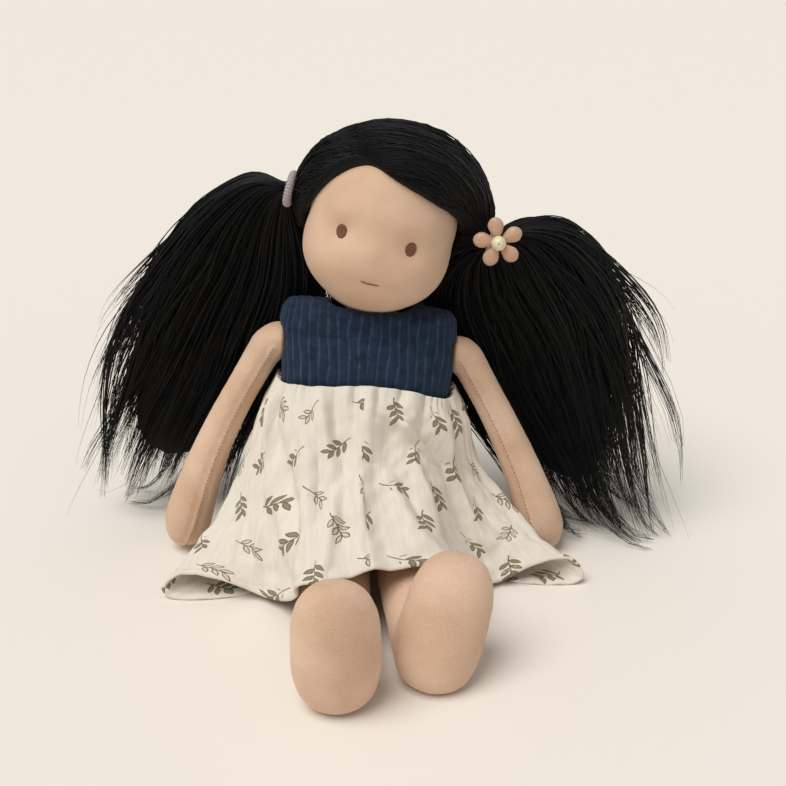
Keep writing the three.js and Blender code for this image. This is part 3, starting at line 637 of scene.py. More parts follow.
@dataclass(frozen=True)
class Mohair:
    """Combed black mohair yarn: nearly black, with a soft silky shine along the strands."""

    name: str = "hair_black_mohair"
    dark: str = "#050506"
    light: str = "#151517"
    roughness: float = 0.55
    strand: float = 0.5

    def build(self) -> bpy.types.Material:
        """Makes the material. The strands' own tone attribute varies the black.

        Returns:
            The material.
        """
        material, tree = blank(self.name)
        tone = wire(tree, "ShaderNodeAttribute", attribute_name="tone").outputs["Fac"]
        place = wire(tree, "ShaderNodeTexCoord").outputs["Object"]
        fibre = wire(tree, "ShaderNodeTexNoise", {"Vector": place, "Scale": per_metre(self.strand),
                                                  "Detail": 2.0})
        # Each strand's tone is its own; the fibre noise, which is also the relief, adds painted light on the
        # raised fibres.
        share = wire(tree, "ShaderNodeMath", {0: tone, 1: fibre}, operation="MULTIPLY")
        colour = wire(tree, "ShaderNodeMix", {0: share, 6: linear(self.dark), 7: linear(self.light)},
                      data_type="RGBA")
        close_up(tree, colour.outputs[2], fibre, 0.1, 0.3,
                 {"Roughness": self.roughness, "Specular IOR Level": 0.22, "Sheen Weight": 0.03,
                  "Sheen Roughness": 0.5})
        return material


@dataclass(frozen=True)
class WaleCorduroy:
    """Wide-wale cotton corduroy in navy: soft ridges of cut pile that catch light, with dark grooves."""

    name: str = "bodice_wide_corduroy"
    line: str = "#33465F"
    ridge: str = "#1E2B3D"
    nap: float = 0.45         # the cut pile's tufts, drawn coarser than the real 0.2 mm so that they show

    def build(self) -> bpy.types.Material:
        """Makes the material. The ridge attribute is 0 in a groove and 1 on a wale's top.

        Returns:
            The material.
        """
        material, tree = blank(self.name)
        place = wire(tree, "ShaderNodeTexCoord").outputs["Object"]
        ridge = wire(tree, "ShaderNodeAttribute", attribute_name="ridge").outputs["Fac"]
        nap = wire(tree, "ShaderNodeTexNoise", {"Vector": place, "Scale": per_metre(self.nap), "Detail": 3.0})
        wear = wire(tree, "ShaderNodeTexNoise", {"Vector": place, "Scale": per_metre(4.5), "Detail": 4.0})
        stretched = wire(tree, "ShaderNodeMapping", {"Vector": place, "Scale": (1.0, 1.0, 0.12)})
        streaks = wire(tree, "ShaderNodeTexNoise", {"Vector": stretched, "Scale": per_metre(0.8),
                                                    "Detail": 2.0})
        blend = wire(tree, "ShaderNodeMath", {0: streaks, 1: 0.9, 2: ridge}, operation="MULTIPLY_ADD")
        shift = wire(tree, "ShaderNodeMapRange", {0: blend, 1: 0.55, 2: 1.25})
        colour = wire(tree, "ShaderNodeMix", {0: shift, 6: linear(self.line), 7: linear(self.ridge)},
                      data_type="RGBA", clamp_factor=True)
        grain = wire(tree, "ShaderNodeMapRange", {0: wear, 1: 0.32, 2: 0.68, 3: 0.7, 4: 1.3})
        toned = wire(tree, "ShaderNodeMix", {0: 1.0, 6: colour.outputs[2], 7: grain},
                     data_type="RGBA", blend_type="MULTIPLY")
        close_up(tree, toned.outputs[2], nap, 0.25, 0.45,
                 {"Roughness": 0.95, "Sheen Weight": 0.2, "Sheen Roughness": 0.45,
                  "Sheen Tint": linear("#A9BBD6"), "Specular IOR Level": 0.2})
        return material


@dataclass(frozen=True)
class PrintedGauze:
    """Crinkled double cotton gauze in off-white with a common print of small leafy sprigs."""

    name: str = "skirt_printed_gauze"
    cloth: str = "#E6DED0"
    print_colour: str = "#685836"
    cell: tuple[float, float] = (28.0, 25.0)
    jitter: float = 4.0       # the room in which a sprig's middle is moved
    turn: float = 1.3         # the most that it is turned, in radians
    leaf_length: float = 6.6
    leaf_half: float = 1.32
    stem_length: float = 14.8
    stem_half: float = 0.3
    line_half: float = 0.3
    # Each pair of leaves: its foot on the stem in mm and its lean in degrees
    pairs: tuple[tuple[float, float], ...] = ((-3.6, 50.0), (0.4, 44.0), (4.4, 30.0))
    short_share: float = 0.4  # this many sprigs lack their lowest pair of leaves
    outline_share: float = 0.38  # and this many are hardly filled
    weave: float = 0.7        # a gauze has a thread each 0.5 mm or so, drawn a little coarser

    def leaf(self, tree: bpy.types.NodeTree, x: Any, y: Any, foot: float, lean: float) -> tuple[Any, Any]:
        """A pointed leaf that leans out from a stem.

        Args:
            tree: The material's node tree.
            x: The place across the sprig in millimetres, mirrored about its stem.
            y: The place along it.
            foot: Where the leaf leaves the stem.
            lean: How far it leans from the stem's direction.

        Returns:
            How far a place is inside the leaf's edge, and 1 where it is beyond the leaf's two ends.
        """
        turn_cos, turn_sin = math.cos(math.radians(lean)), math.sin(math.radians(lean))
        up = wire(tree, "ShaderNodeMath", {0: y, 1: foot}, operation="SUBTRACT")
        along_x = wire(tree, "ShaderNodeMath", {0: x, 1: turn_sin}, operation="MULTIPLY")
        along = wire(tree, "ShaderNodeMath", {0: up, 1: turn_cos, 2: along_x}, operation="MULTIPLY_ADD")
        across_x = wire(tree, "ShaderNodeMath", {0: x, 1: turn_cos}, operation="MULTIPLY")
        across = wire(tree, "ShaderNodeMath", {0: up, 1: -turn_sin, 2: across_x}, operation="MULTIPLY_ADD")
        rib = wire(tree, "ShaderNodeMath", {0: across}, operation="ABSOLUTE")
        share = wire(tree, "ShaderNodeMath", {0: along, 1: self.leaf_length}, operation="DIVIDE",
                     use_clamp=True)
        rest = wire(tree, "ShaderNodeMath", {0: 1.0, 1: share}, operation="SUBTRACT")
        swell = wire(tree, "ShaderNodeMath", {0: share, 1: rest}, operation="MULTIPLY")
        width = wire(tree, "ShaderNodeMath", {0: swell, 1: 4 * self.leaf_half}, operation="MULTIPLY")
        inside = wire(tree, "ShaderNodeMath", {0: width, 1: rib}, operation="SUBTRACT")
        beyond = wire(tree, "ShaderNodeMath", {0: swell, 1: 0.006}, operation="LESS_THAN")
        return inside, beyond

    def build(self) -> bpy.types.Material:
        """Makes the material. The cloth UV map holds metres along the weft and the warp.

        Returns:
            The material.
        """
        material, tree = blank(self.name)
        flat = wire(tree, "ShaderNodeUVMap", uv_map="cloth")
        sprig, chance = self.scatter(tree, flat)
        self.finish_cloth(tree, flat, self.drawn(tree, flat, sprig, chance))
        return material

    def scatter(self, tree: bpy.types.NodeTree, flat: Any) -> tuple[Any, Any]:
        """Sets one sprig in each cell of a half-drop repeat, moved and turned at random.

        Args:
            tree: The material's node tree.
            flat: The cloth coordinates in metres.

        Returns:
            The place within the nearest sprig in millimetres, and the node with the sprig's three chances.
        """
        cells = wire(tree, "ShaderNodeVectorMath", {0: flat, 1: (per_metre(self.cell[0]),
                                                                 per_metre(self.cell[1]), 1.0)},
                     operation="MULTIPLY")
        parts = wire(tree, "ShaderNodeSeparateXYZ", {0: cells})
        row = wire(tree, "ShaderNodeMath", {0: parts.outputs[1]}, operation="FLOOR")
        odd = wire(tree, "ShaderNodeMath", {0: row, 1: 2.0}, operation="FLOORED_MODULO")
        shifted = wire(tree, "ShaderNodeMath", {0: odd, 1: 0.5, 2: parts}, operation="MULTIPLY_ADD")
        column = wire(tree, "ShaderNodeMath", {0: shifted}, operation="FLOOR")
        spot = wire(tree, "ShaderNodeCombineXYZ", {0: column, 1: row, 2: 3.0})
        luck = wire(tree, "ShaderNodeTexWhiteNoise", {"Vector": spot}, noise_dimensions="3D")
        chance = wire(tree, "ShaderNodeSeparateColor", {0: luck.outputs["Color"]})
        local_x = wire(tree, "ShaderNodeMath", {0: shifted, 1: column}, operation="SUBTRACT")
        local_y = wire(tree, "ShaderNodeMath", {0: parts.outputs[1], 1: row}, operation="SUBTRACT")
        centred = wire(tree, "ShaderNodeCombineXYZ", {0: local_x, 1: local_y, 2: 0.5})
        in_mm = wire(tree, "ShaderNodeVectorMath", {0: centred, 1: (0.5, 0.5, 0.5)}, operation="SUBTRACT")
        sized = wire(tree, "ShaderNodeVectorMath", {0: in_mm, 1: (*self.cell, 1.0)}, operation="MULTIPLY")
        jitter = wire(tree, "ShaderNodeVectorMath", {0: luck.outputs["Color"], 1: (0.5, 0.5, 0.5)},
                      operation="SUBTRACT")
        moved = wire(tree, "ShaderNodeVectorMath", {0: jitter, 1: (self.jitter, self.jitter, 0.0), 2: sized},
                     operation="MULTIPLY_ADD")
        turn = wire(tree, "ShaderNodeMapRange", {0: chance.outputs[2], 3: -self.turn, 4: self.turn})
        sprig = wire(tree, "ShaderNodeVectorRotate", {"Vector": moved, "Angle": turn}, rotation_type="Z_AXIS")
        return sprig, chance

    def drawn(self, tree: bpy.types.NodeTree, flat: Any, sprig: Any, chance: Any) -> Any:
        """Draws a sprig: a bent stem with three pairs of leaves, each with its outline and its fill.

        Args:
            tree: The material's node tree.
            flat: The cloth coordinates in metres, for the print's rough edge.
            sprig: The place within the sprig in millimetres.
            chance: The node with its three chances.

        Returns:
            How much print covers a place.
        """
        at = wire(tree, "ShaderNodeSeparateXYZ", {0: sprig})
        bend = wire(tree, "ShaderNodeMath", {0: at.outputs[1], 1: 0.28}, operation="MULTIPLY")
        curve = wire(tree, "ShaderNodeMath", {0: bend}, operation="SINE")
        x = wire(tree, "ShaderNodeMath", {0: curve, 1: -1.0, 2: at}, operation="MULTIPLY_ADD")
        side = wire(tree, "ShaderNodeMath", {0: x}, operation="SIGN")
        y = wire(tree, "ShaderNodeMath", {0: side, 1: 0.9, 2: at.outputs[1]}, operation="MULTIPLY_ADD")
        mirrored = wire(tree, "ShaderNodeMath", {0: x}, operation="ABSOLUTE")
        span = wire(tree, "ShaderNodeMath", {0: at.outputs[1]}, operation="ABSOLUTE")
        stem_end = wire(tree, "ShaderNodeMath", {0: self.stem_length / 2, 1: span}, operation="SUBTRACT")
        stem_edge = wire(tree, "ShaderNodeMath", {0: self.stem_half, 1: mirrored}, operation="SUBTRACT")
        ink = wire(tree, "ShaderNodeMath", {0: stem_end, 1: stem_edge}, operation="MINIMUM")
        outlined = wire(tree, "ShaderNodeMath", {0: chance, 1: 1 - self.outline_share},
                        operation="GREATER_THAN")
        layers, fills = [ink], [-9.0]
        short = wire(tree, "ShaderNodeMath", {0: chance.outputs[1], 1: self.short_share},
                     operation="LESS_THAN")
        for foot, lean in self.pairs:
            inside, beyond = self.leaf(tree, mirrored, y, foot, lean)
            if foot < 0:
                beyond = wire(tree, "ShaderNodeMath", {0: beyond, 1: short}, operation="ADD")
            edge = wire(tree, "ShaderNodeMath", {0: inside, 1: self.line_half}, operation="SUBTRACT")
            line = wire(tree, "ShaderNodeMath", {0: edge}, operation="ABSOLUTE")
            rim = wire(tree, "ShaderNodeMath", {0: self.line_half, 1: line}, operation="SUBTRACT")
            for shape, layer in ((rim, layers), (inside, fills)):
                held = wire(tree, "ShaderNodeMath", {0: shape, 1: beyond}, operation="SUBTRACT")
                layer.append(wire(tree, "ShaderNodeMath", {0: layer[-1], 1: held}, operation="MAXIMUM"))
        rough_edge = wire(tree, "ShaderNodeTexNoise", {"Vector": flat, "Scale": per_metre(0.6),
                                                       "Detail": 2.0})
        worn = wire(tree, "ShaderNodeMath", {0: rough_edge, 1: 0.35, 2: -0.17}, operation="MULTIPLY_ADD")
        filled = wire(tree, "ShaderNodeMix", {0: outlined, 2: 0.78, 3: 0.2}, data_type="FLOAT")
        masks = []
        for layer, strength in ((layers, 0.92), (fills, filled)):
            inked = wire(tree, "ShaderNodeMath", {0: layer[-1], 1: worn}, operation="ADD")
            masks.append(wire(tree, "ShaderNodeMapRange", {0: inked, 1: -0.08, 2: 0.1, 3: 0.0, 4: strength}))
        return wire(tree, "ShaderNodeMath", {0: masks[0], 1: masks[1]}, operation="MAXIMUM")

    def finish_cloth(self, tree: bpy.types.NodeTree, flat: Any, mask: Any) -> None:
        """Adds the gauze's crinkles, its weave and its colours.

        Args:
            tree: The material's node tree.
            flat: The cloth coordinates in metres.
            mask: How much print covers a place.
        """
        creases = wire(tree, "ShaderNodeMapping", {"Vector": flat, "Scale": (1.0, 0.16, 1.0)})
        crinkle = wire(tree, "ShaderNodeTexNoise", {"Vector": creases, "Scale": per_metre(2.4),
                                                    "Detail": 4.0, "Roughness": 0.6, "Distortion": 0.4})
        weft, warp = (wire(tree, "ShaderNodeTexWave", {
            "Vector": flat, "Scale": wave_scale(self.weave), "Distortion": 1.5, "Detail Scale": 0.6},
            bands_direction=way) for way in "XY")
        thread = wire(tree, "ShaderNodeMath", {0: weft.outputs[1], 1: warp.outputs[1]}, operation="MULTIPLY")
        height = wire(tree, "ShaderNodeMath", {0: thread, 1: 0.16, 2: crinkle}, operation="MULTIPLY_ADD")
        # The crinkle that raises the cloth also tones it: painted shade in its hollows and painted light on
        # its tops.
        tone = wire(tree, "ShaderNodeMapRange", {0: crinkle, 1: 0.3, 2: 0.7, 3: 0.93, 4: 1.04})
        ground = wire(tree, "ShaderNodeMix", {0: 1.0, 6: linear(self.cloth), 7: tone},
                      data_type="RGBA", blend_type="MULTIPLY")
        colour = wire(tree, "ShaderNodeMix", {0: mask, 6: ground.outputs[2], 7: linear(self.print_colour)},
                      data_type="RGBA")
        close_up(tree, colour.outputs[2], height, 0.7, 0.55,
                 {"Roughness": 0.95, "Sheen Weight": 0.1, "Sheen Roughness": 0.5, "Specular IOR Level": 0.2})


@dataclass(frozen=True)
class SimpleFinish:
    """A small piece's finish: one colour with a fine relief at a real scale."""

    name: str
    colour: str
    shade: str
    roughness: float
    grain: float
    relief: float = 0.1
    sheen: float = 0.0
    coat: float = 0.0
    specular: float = 0.5
    bands: float = 0.0

    def build(self) -> bpy.types.Material:
        """Makes the material.

        Returns:
            The material.
        """
        material, tree = blank(self.name)
        place = wire(tree, "ShaderNodeTexCoord").outputs["Object"]
        grain = wire(tree, "ShaderNodeTexNoise", {"Vector": place, "Scale": per_metre(self.grain),
                                                  "Detail": 3.0})
        height = grain
        if self.bands:
            bands = wire(tree, "ShaderNodeTexWave", {"Vector": place, "Scale": wave_scale(self.bands),
                                                     "Distortion": 0.6}, bands_direction="DIAGONAL")
            height = wire(tree, "ShaderNodeMix", {0: 0.7, 2: grain, 3: bands.outputs[1]}, data_type="FLOAT")
        # The relief's low spots take the darker shade colour: painted shade in the hollows of thread, cloth
        # and satin, and the real grain and clouds of the wood bead and the resin buttons.
        share = wire(tree, "ShaderNodeMapRange", {0: height, 1: 0.3, 2: 0.7})
        colour = wire(tree, "ShaderNodeMix", {0: share, 6: linear(self.shade), 7: linear(self.colour)},
                      data_type="RGBA")
        close_up(tree, colour.outputs[2], height, self.relief, 0.4,
                 {"Roughness": self.roughness, "Sheen Weight": self.sheen, "Coat Weight": self.coat,
                  "Specular IOR Level": self.specular})
        return material


class Finish(Enum):
    """The finishes that the doll's small pieces take."""

    # Satin-faced microfibre: smooth, a soft gloss
    PETAL = SimpleFinish("petal_satin", "#CFA78D", "#BD9378", 0.36, 0.9, 0.05, sheen=0.3)
    # Turned and waxed wood bead: smooth, a low polish
    BEAD = SimpleFinish("bead_waxed_wood", "#EAE2BF", "#D9CCA2", 0.32, 2.5, 0.05, coat=0.25)
    # Covered elastic: matt ribs of textured yarn
    ELASTIC = SimpleFinish("tie_ribbed_elastic", "#BCAEAD", "#8F8284", 0.85, 0.6, 0.15, sheen=0.2)
    # Stranded cotton embroidery: smooth threads with a silky gloss
    EYE = SimpleFinish("eye_cotton_embroidery", "#7F4D2C", "#5E3821", 0.5, 0.4, 0.1, sheen=0.15)
    MOUTH = SimpleFinish("mouth_cotton_embroidery", "#94654B", "#7A4E38", 0.6, 0.4, 0.08)
    # Twisted polyester sewing thread: fine twist and a slight shine
    THREAD = SimpleFinish("sewing_thread_twisted", "#B98A70", "#9A6C54", 0.6, 0.5, 0.1, bands=0.5)
    # Hand-quilting thread in brown red for the seams of the arms
    SEAM = SimpleFinish("seam_thread_twisted", "#B07A5E", "#95634A", 0.6, 0.4, 0.1, bands=0.5)
    # White cotton thread along the hem and the neckline
    COTTON = SimpleFinish("hem_cotton_thread", "#E9E2D5", "#D5CCBC", 0.7, 0.4, 0.1)
    NAVY = SimpleFinish("topstitch_navy_thread", "#2A3B54", "#1B2839", 0.6, 0.4, 0.1)
    # Cast polyester resin button: glossy with faint clouds
    BUTTON = SimpleFinish("button_cast_resin", "#E8E1CF", "#D8CDB6", 0.25, 3.0, 0.02, coat=0.3)


class Wardrobe:
    """Makes each finish once and hands it out."""

    def __init__(self) -> None:
        """Starts with no finish made."""
        self.made: dict[str, bpy.types.Material] = {}

    def of(self, finish: Any) -> bpy.types.Material:
        """The material of a finish.

        Args:
            finish: A finish, or a name from the small pieces' list.

        Returns:
            Its material, the same one each time.
        """
        recipe = finish.value if isinstance(finish, Finish) else finish
        if recipe.name not in self.made:
            self.made[recipe.name] = recipe.build()
        return self.made[recipe.name]


WARDROBE = Wardrobe()
# The cloth of the body and the limbs: cotton velour, with a longer pile than the head's knit
LIMB_SKIN = SkinCloth(name="skin_cotton_velour", colour="#E2C2A8", shade="#D3AF93", rib_depth=0.75, pile=0.8,
                      rib_share=0.12, sheen=0.35)


# Rows of stitches and strands

@dataclass(frozen=True)
class StitchRow:
    """Geometry nodes that lay short rounded stitches along a line."""

    pitch: float = 2.4
    length: float = 1.5
    thickness: float = 0.42
    finish: Finish = Finish.SEAM

    def tree(self) -> bpy.types.NodeTree:
        """Builds the node tree with its pitch, length and thickness as named inputs.

        Returns:
            The tree.
        """
        tree = bpy.data.node_groups.new("stitch_row", "GeometryNodeTree")
        tree.interface.new_socket("Line", in_out="INPUT", socket_type="NodeSocketGeometry")
        for name in ("Pitch", "Length", "Thickness"):
            tree.interface.new_socket(name, in_out="INPUT", socket_type="NodeSocketFloat")
        tree.interface.new_socket("Stitches", in_out="OUTPUT", socket_type="NodeSocketGeometry")
        given = wire(tree, "NodeGroupInput").outputs
        curve = wire(tree, "GeometryNodeMeshToCurve", {"Mesh": given["Line"]})
        dots = wire(tree, "GeometryNodeResampleCurve", {"Curve": curve, "Length": given["Pitch"]},
                    mode="LENGTH")
        tangent = wire(tree, "GeometryNodeInputTangent")
        facing = wire(tree, "FunctionNodeAlignRotationToVector", {"Vector": tangent}, axis="Z")
        scale = wire(tree, "ShaderNodeCombineXYZ", {0: given["Thickness"], 1: given["Thickness"],
                                                    2: given["Length"]})
        ball = wire(tree, "GeometryNodeMeshUVSphere", {"Segments": 8, "Rings": 6, "Radius": 0.5})
        laid = wire(tree, "GeometryNodeInstanceOnPoints", {
            "Points": dots, "Instance": ball, "Rotation": facing,
            "Scale": scale})
        real = wire(tree, "GeometryNodeRealizeInstances", {"Geometry": laid})
        smooth = wire(tree, "GeometryNodeSetShadeSmooth", {"Geometry": real})
        dressed = wire(tree, "GeometryNodeSetMaterial", {"Geometry": smooth,
                                                         "Material": WARDROBE.of(self.finish)})
        wire(tree, "NodeGroupOutput", {"Stitches": dressed})
        return tree

    def sew(self, name: str, paths: Sequence[Array]) -> bpy.types.Object:
        """Lays the stitches along lines of points and settles them into one mesh.

        Args:
            name: The row's name.
            paths: The lines, in millimetres.

        Returns:
            The object with its plain mesh.
        """
        made = line_object(name, paths)
        run_tree(made, self.tree(), {"Pitch": self.pitch * MM, "Length": self.length * MM,
                                     "Thickness": self.thickness * MM})
        return made


@dataclass(frozen=True)
class StrandMaker:
    """Geometry nodes that turn lines into tapering strands with a few sides."""

    sides: int = 3
    radius: float = 0.4

    def tree(self, material: bpy.types.Material) -> bpy.types.NodeTree:
        """Builds the node tree. Each point's thickness attribute scales the strand there.

        Args:
            material: The strands' finish.

        Returns:
            The tree.
        """
        tree = bpy.data.node_groups.new("strands", "GeometryNodeTree")
        for name, kind in (("Lines", "Geometry"), ("Radius", "Float"), ("Sides", "Int")):
            tree.interface.new_socket(name, in_out="INPUT", socket_type=f"NodeSocket{kind}")
        tree.interface.new_socket("Strands", in_out="OUTPUT", socket_type="NodeSocketGeometry")
        given = wire(tree, "NodeGroupInput").outputs
        curve = wire(tree, "GeometryNodeMeshToCurve", {"Mesh": given["Lines"]})
        section = wire(tree, "GeometryNodeCurvePrimitiveCircle", {"Resolution": given["Sides"],
                                                                  "Radius": given["Radius"]}, mode="RADIUS")
        thickness = wire(tree, "GeometryNodeInputNamedAttribute", {"Name": "thickness"}, data_type="FLOAT")
        skin = wire(tree, "GeometryNodeCurveToMesh", {
            "Curve": curve, "Profile Curve": section, "Scale": thickness,
            "Fill Caps": True})
        smooth = wire(tree, "GeometryNodeSetShadeSmooth", {"Geometry": skin})
        real = wire(tree, "GeometryNodeRealizeInstances", {"Geometry": smooth})
        dressed = wire(tree, "GeometryNodeSetMaterial", {"Geometry": real, "Material": material})
        wire(tree, "NodeGroupOutput", {"Strands": dressed})
        return tree

    def comb(self, name: str, strands: Array, thickness: Array, tone: Array, material: bpy.types.Material,
             ) -> bpy.types.Object:
        """Makes one mesh of many strands.

        Args:
            name: The piece's name.
            strands: The strands' points, as strand, point and axis.
            thickness: How thick each point is, as a share of the radius.
            tone: One light or dark share for each strand.
            material: The hair's finish.

        Returns:
            The object with its plain mesh.
        """
        made = line_object(name, list(strands))
        add_attribute(made, "thickness", thickness.ravel())
        add_attribute(made, "tone", np.repeat(tone, strands.shape[1]))
        run_tree(made, self.tree(material), {"Radius": self.radius * MM, "Sides": self.sides})
        return made


def line_object(name: str, paths: Sequence[Array]) -> bpy.types.Object:
    """An object of open lines.

    Args:
        name: The object's name.
        paths: The lines' points in millimetres.

    Returns:
        The object, linked to the scene.
    """
    points = np.concatenate([np.asarray(path, float) for path in paths])
    edges: list[tuple[int, int]] = []
    start = 0
    for path in paths:
        edges += [(k, k + 1) for k in range(start, start + len(path) - 1)]
        start += len(path)
    mesh = bpy.data.meshes.new(name)
    mesh.from_pydata((points * MM).tolist(), edges, [])
    made = bpy.data.objects.new(name, mesh)
    bpy.context.collection.objects.link(made)
    return made


def run_tree(made: bpy.types.Object, tree: bpy.types.NodeTree, values: dict[str, Any]) -> None:
    """Runs a geometry node tree on an object and keeps the plain mesh.

    Args:
        made: The object that the tree starts from.
        tree: The node tree.
        values: The named inputs' values.
    """
    modifier = made.modifiers.new("nodes", "NODES")
    modifier.node_group = tree
    for item in tree.interface.items_tree:
        if item.item_type == "SOCKET" and item.in_out == "INPUT" and item.name in values:
            modifier[item.identifier] = values[item.name]
    settled(made)


def carve(made: bpy.types.Object, cutter: bpy.types.Object) -> bpy.types.Object:
    """Takes one closed body out of another and removes the cutter.

    Args:
        made: The body.
        cutter: What is taken out of it.

    Returns:
        The body.
    """
    modifier = made.modifiers.new("carve", "BOOLEAN")
    modifier.operation, modifier.solver, modifier.object = "DIFFERENCE", "EXACT", cutter
    settled(made)
    dispose(cutter)
    return made


# Body

# The body sits tipped to its left and leans back a little, and the head tips and turns on it
SIDE_TIP = turned("Y", 5)
BODY = Place(vec(-7, 2, 30), SIDE_TIP @ turned("X", -8))
HEAD = Place(BODY.world(vec(0, 0, 125)), BODY.axes @ turned("Y", 9.5) @ turned("Z", -4))


@dataclass
class BodyBag:
    """The stuffed bag under the dress: an upper part, a seat part that it folds on, and the neck."""

    width: float = 77.0
    belly: float = 50.0
    height: float = 90.5
    hem_radius: float = 20.0
    ridge: float = 11.0
    squareness: float = 0.72
    sides: int = 48
    heights: tuple[float, ...] = (0, 0.1, 0.28, 0.48, 0.66, 0.8, 0.9, 0.96, 1)
    widths: tuple[float, ...] = (0.95, 0.97, 1, 1, 1, 0.99, 0.975, 0.96, 0.9)
    depths: tuple[float, ...] = (0.8, 0.86, 0.95, 1, 0.94, 0.78, 0.56, 0.38, 0.22)
    seat_width: float = 78.0
    seat_depth: float = 54.0
    seat_height: float = 24.0
    neck_radius: float = 13.0
    neck_foot: float = 65.5
    pivot: float = 125.0
    ball_radius: float = 34.85
    gap: float = 0.3
    back_wall: float = 58.0   # the trough's walls: the fold's 50 degrees back and the lean of 8,
    front_wall: float = 22.0  # and its 30 forward less that lean

    def half_width(self, height: Any) -> Any:
        """Half the bag's width at a height above the fold."""
        return self.width / 2 * np.interp(np.asarray(height) / self.height, self.heights, self.widths)

    def half_depth(self, height: Any) -> Any:
        """Half the bag's depth at a height above the fold."""
        depth = self.belly / 2 * np.interp(np.asarray(height) / self.height, self.heights, self.depths)
        return np.maximum(depth, self.ridge / 2)

    def section(self, height: float, half_wide: float, half_deep: float) -> Array:
        """One squarish section of the bag."""
        return level_ring(height, half_wide, half_deep, self.sides, self.squareness)

    def torso(self) -> bpy.types.Object:
        """The upper part, with the socket that the neck is sunk in.

        Returns:
            The piece.
        """
        hem = [self.section(-self.hem_radius * s, float(self.half_width(0)),
                            self.hem_radius * math.sqrt(1 - s * s)) for s in (0.93, 0.8, 0.6, 0.35)]
        side = [self.section(h, float(self.half_width(h)) - 0.2, float(self.half_depth(h)) - 0.2)
                for h in np.linspace(0, self.height, 26)]
        points, faces = body_through(np.array(hem + side))
        made = make_object("torso_bag", BODY.world(points), faces, WARDROBE.of(LIMB_SKIN))
        bore = self.neck_radius + self.gap
        points, faces = body_through(np.array([level_ring(h, bore, bore, 48)
                                               for h in (self.neck_foot - self.gap, 130.0)]))
        carve(made, make_object("bore", BODY.world(points), faces, None))
        shade_smooth(made)
        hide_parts("torso_skin", "torso_stuffing")
        return made

    def seat(self) -> bpy.types.Object:
        """The seat part, with the trough that the bag's hem rolls in.

        Returns:
            The piece.
        """
        shares, widths = (0, 0.14, 0.4, 0.8, 1), (0.93, 0.99, 1, 0.98, 0.9)
        rows = [level_ring(self.seat_height * s, self.seat_width / 2 * w, self.seat_depth / 2 * w, self.sides,
                           self.squareness)
                for s, w in ((s, float(np.interp(s, shares, widths))) for s in np.linspace(0, 1, 13))]
        points, faces = body_through(np.array(rows))
        made = make_object("seat_bag", points, faces, WARDROBE.of(LIMB_SKIN))
        carve(made, self.trough())
        shade_smooth(made)
        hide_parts("seat_skin", "seat_stuffing")
        return made

    def trough(self) -> bpy.types.Object:
        """The room that the bag's hem needs in the seat over its whole fold, as a cutter.

        Returns:
            The cutter, a prism across the doll.
        """
        wide = 2 * self.width
        radius, bag_half = self.hem_radius + self.gap, self.belly / 2 + self.gap
        walls = [np.array(ends) @ np.array(Matrix.Rotation(math.radians(lean), 2).transposed())
                 for ends, lean in ((((bag_half, self.height), (bag_half, 0.0)), -self.back_wall),
                                    (((-bag_half, 0.0), (-bag_half, self.height)), self.front_wall))]
        angles = np.linspace(math.radians(self.back_wall), math.radians(180 - self.front_wall), 18)
        arc = np.stack([radius * np.cos(angles), -radius * np.sin(angles)], axis=1)
        section = np.concatenate([walls[0], arc, walls[1]])
        count = len(section)
        ends = np.array([np.column_stack([np.full(count, x), section]) for x in (-wide, wide)])
        faces = [tuple(range(count)), tuple(reversed(range(count, 2 * count)))]
        faces += [(k, k + count, (k + 1) % count + count, (k + 1) % count) for k in range(count)]
        cutter = make_object("trough", Place(BODY.origin, SIDE_TIP).world(ends.reshape(-1, 3)), faces, None)
        cutter.modifiers.new("weld", "WELD").merge_threshold = 1e-6
        return settled(cutter)

    def neck(self) -> bpy.types.Object:
        """The stuffed neck, with the cup that the head turns in.

        Returns:
            The piece.
        """
        rows = [(r, self.neck_foot + h)
                for r, h in ((11.5, 0), (12.7, 1), (13, 3), (13, 12), (13, 20), (13, 25))]
        rows += [(12.8, 26.6)]  # the cup's rim
        rows += [(r, self.pivot - math.sqrt(self.ball_radius ** 2 - r * r)) for r in (12, 10, 7, 4, 1.5)]
        points, faces = body_through(np.array([level_ring(h, r, r, 48) for r, h in rows]))
        made = make_object("neck", BODY.world(points), faces, WARDROBE.of(LIMB_SKIN))
        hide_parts("neck_core")
        return made

    def build(self) -> None:
        """Makes the body's pieces and sets each on the part of the frame that carries it."""
        for made, body in ((self.torso(), "torso"), (self.seat(), "hips"), (self.neck(), "neck")):
            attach(made, body)


# Head and face

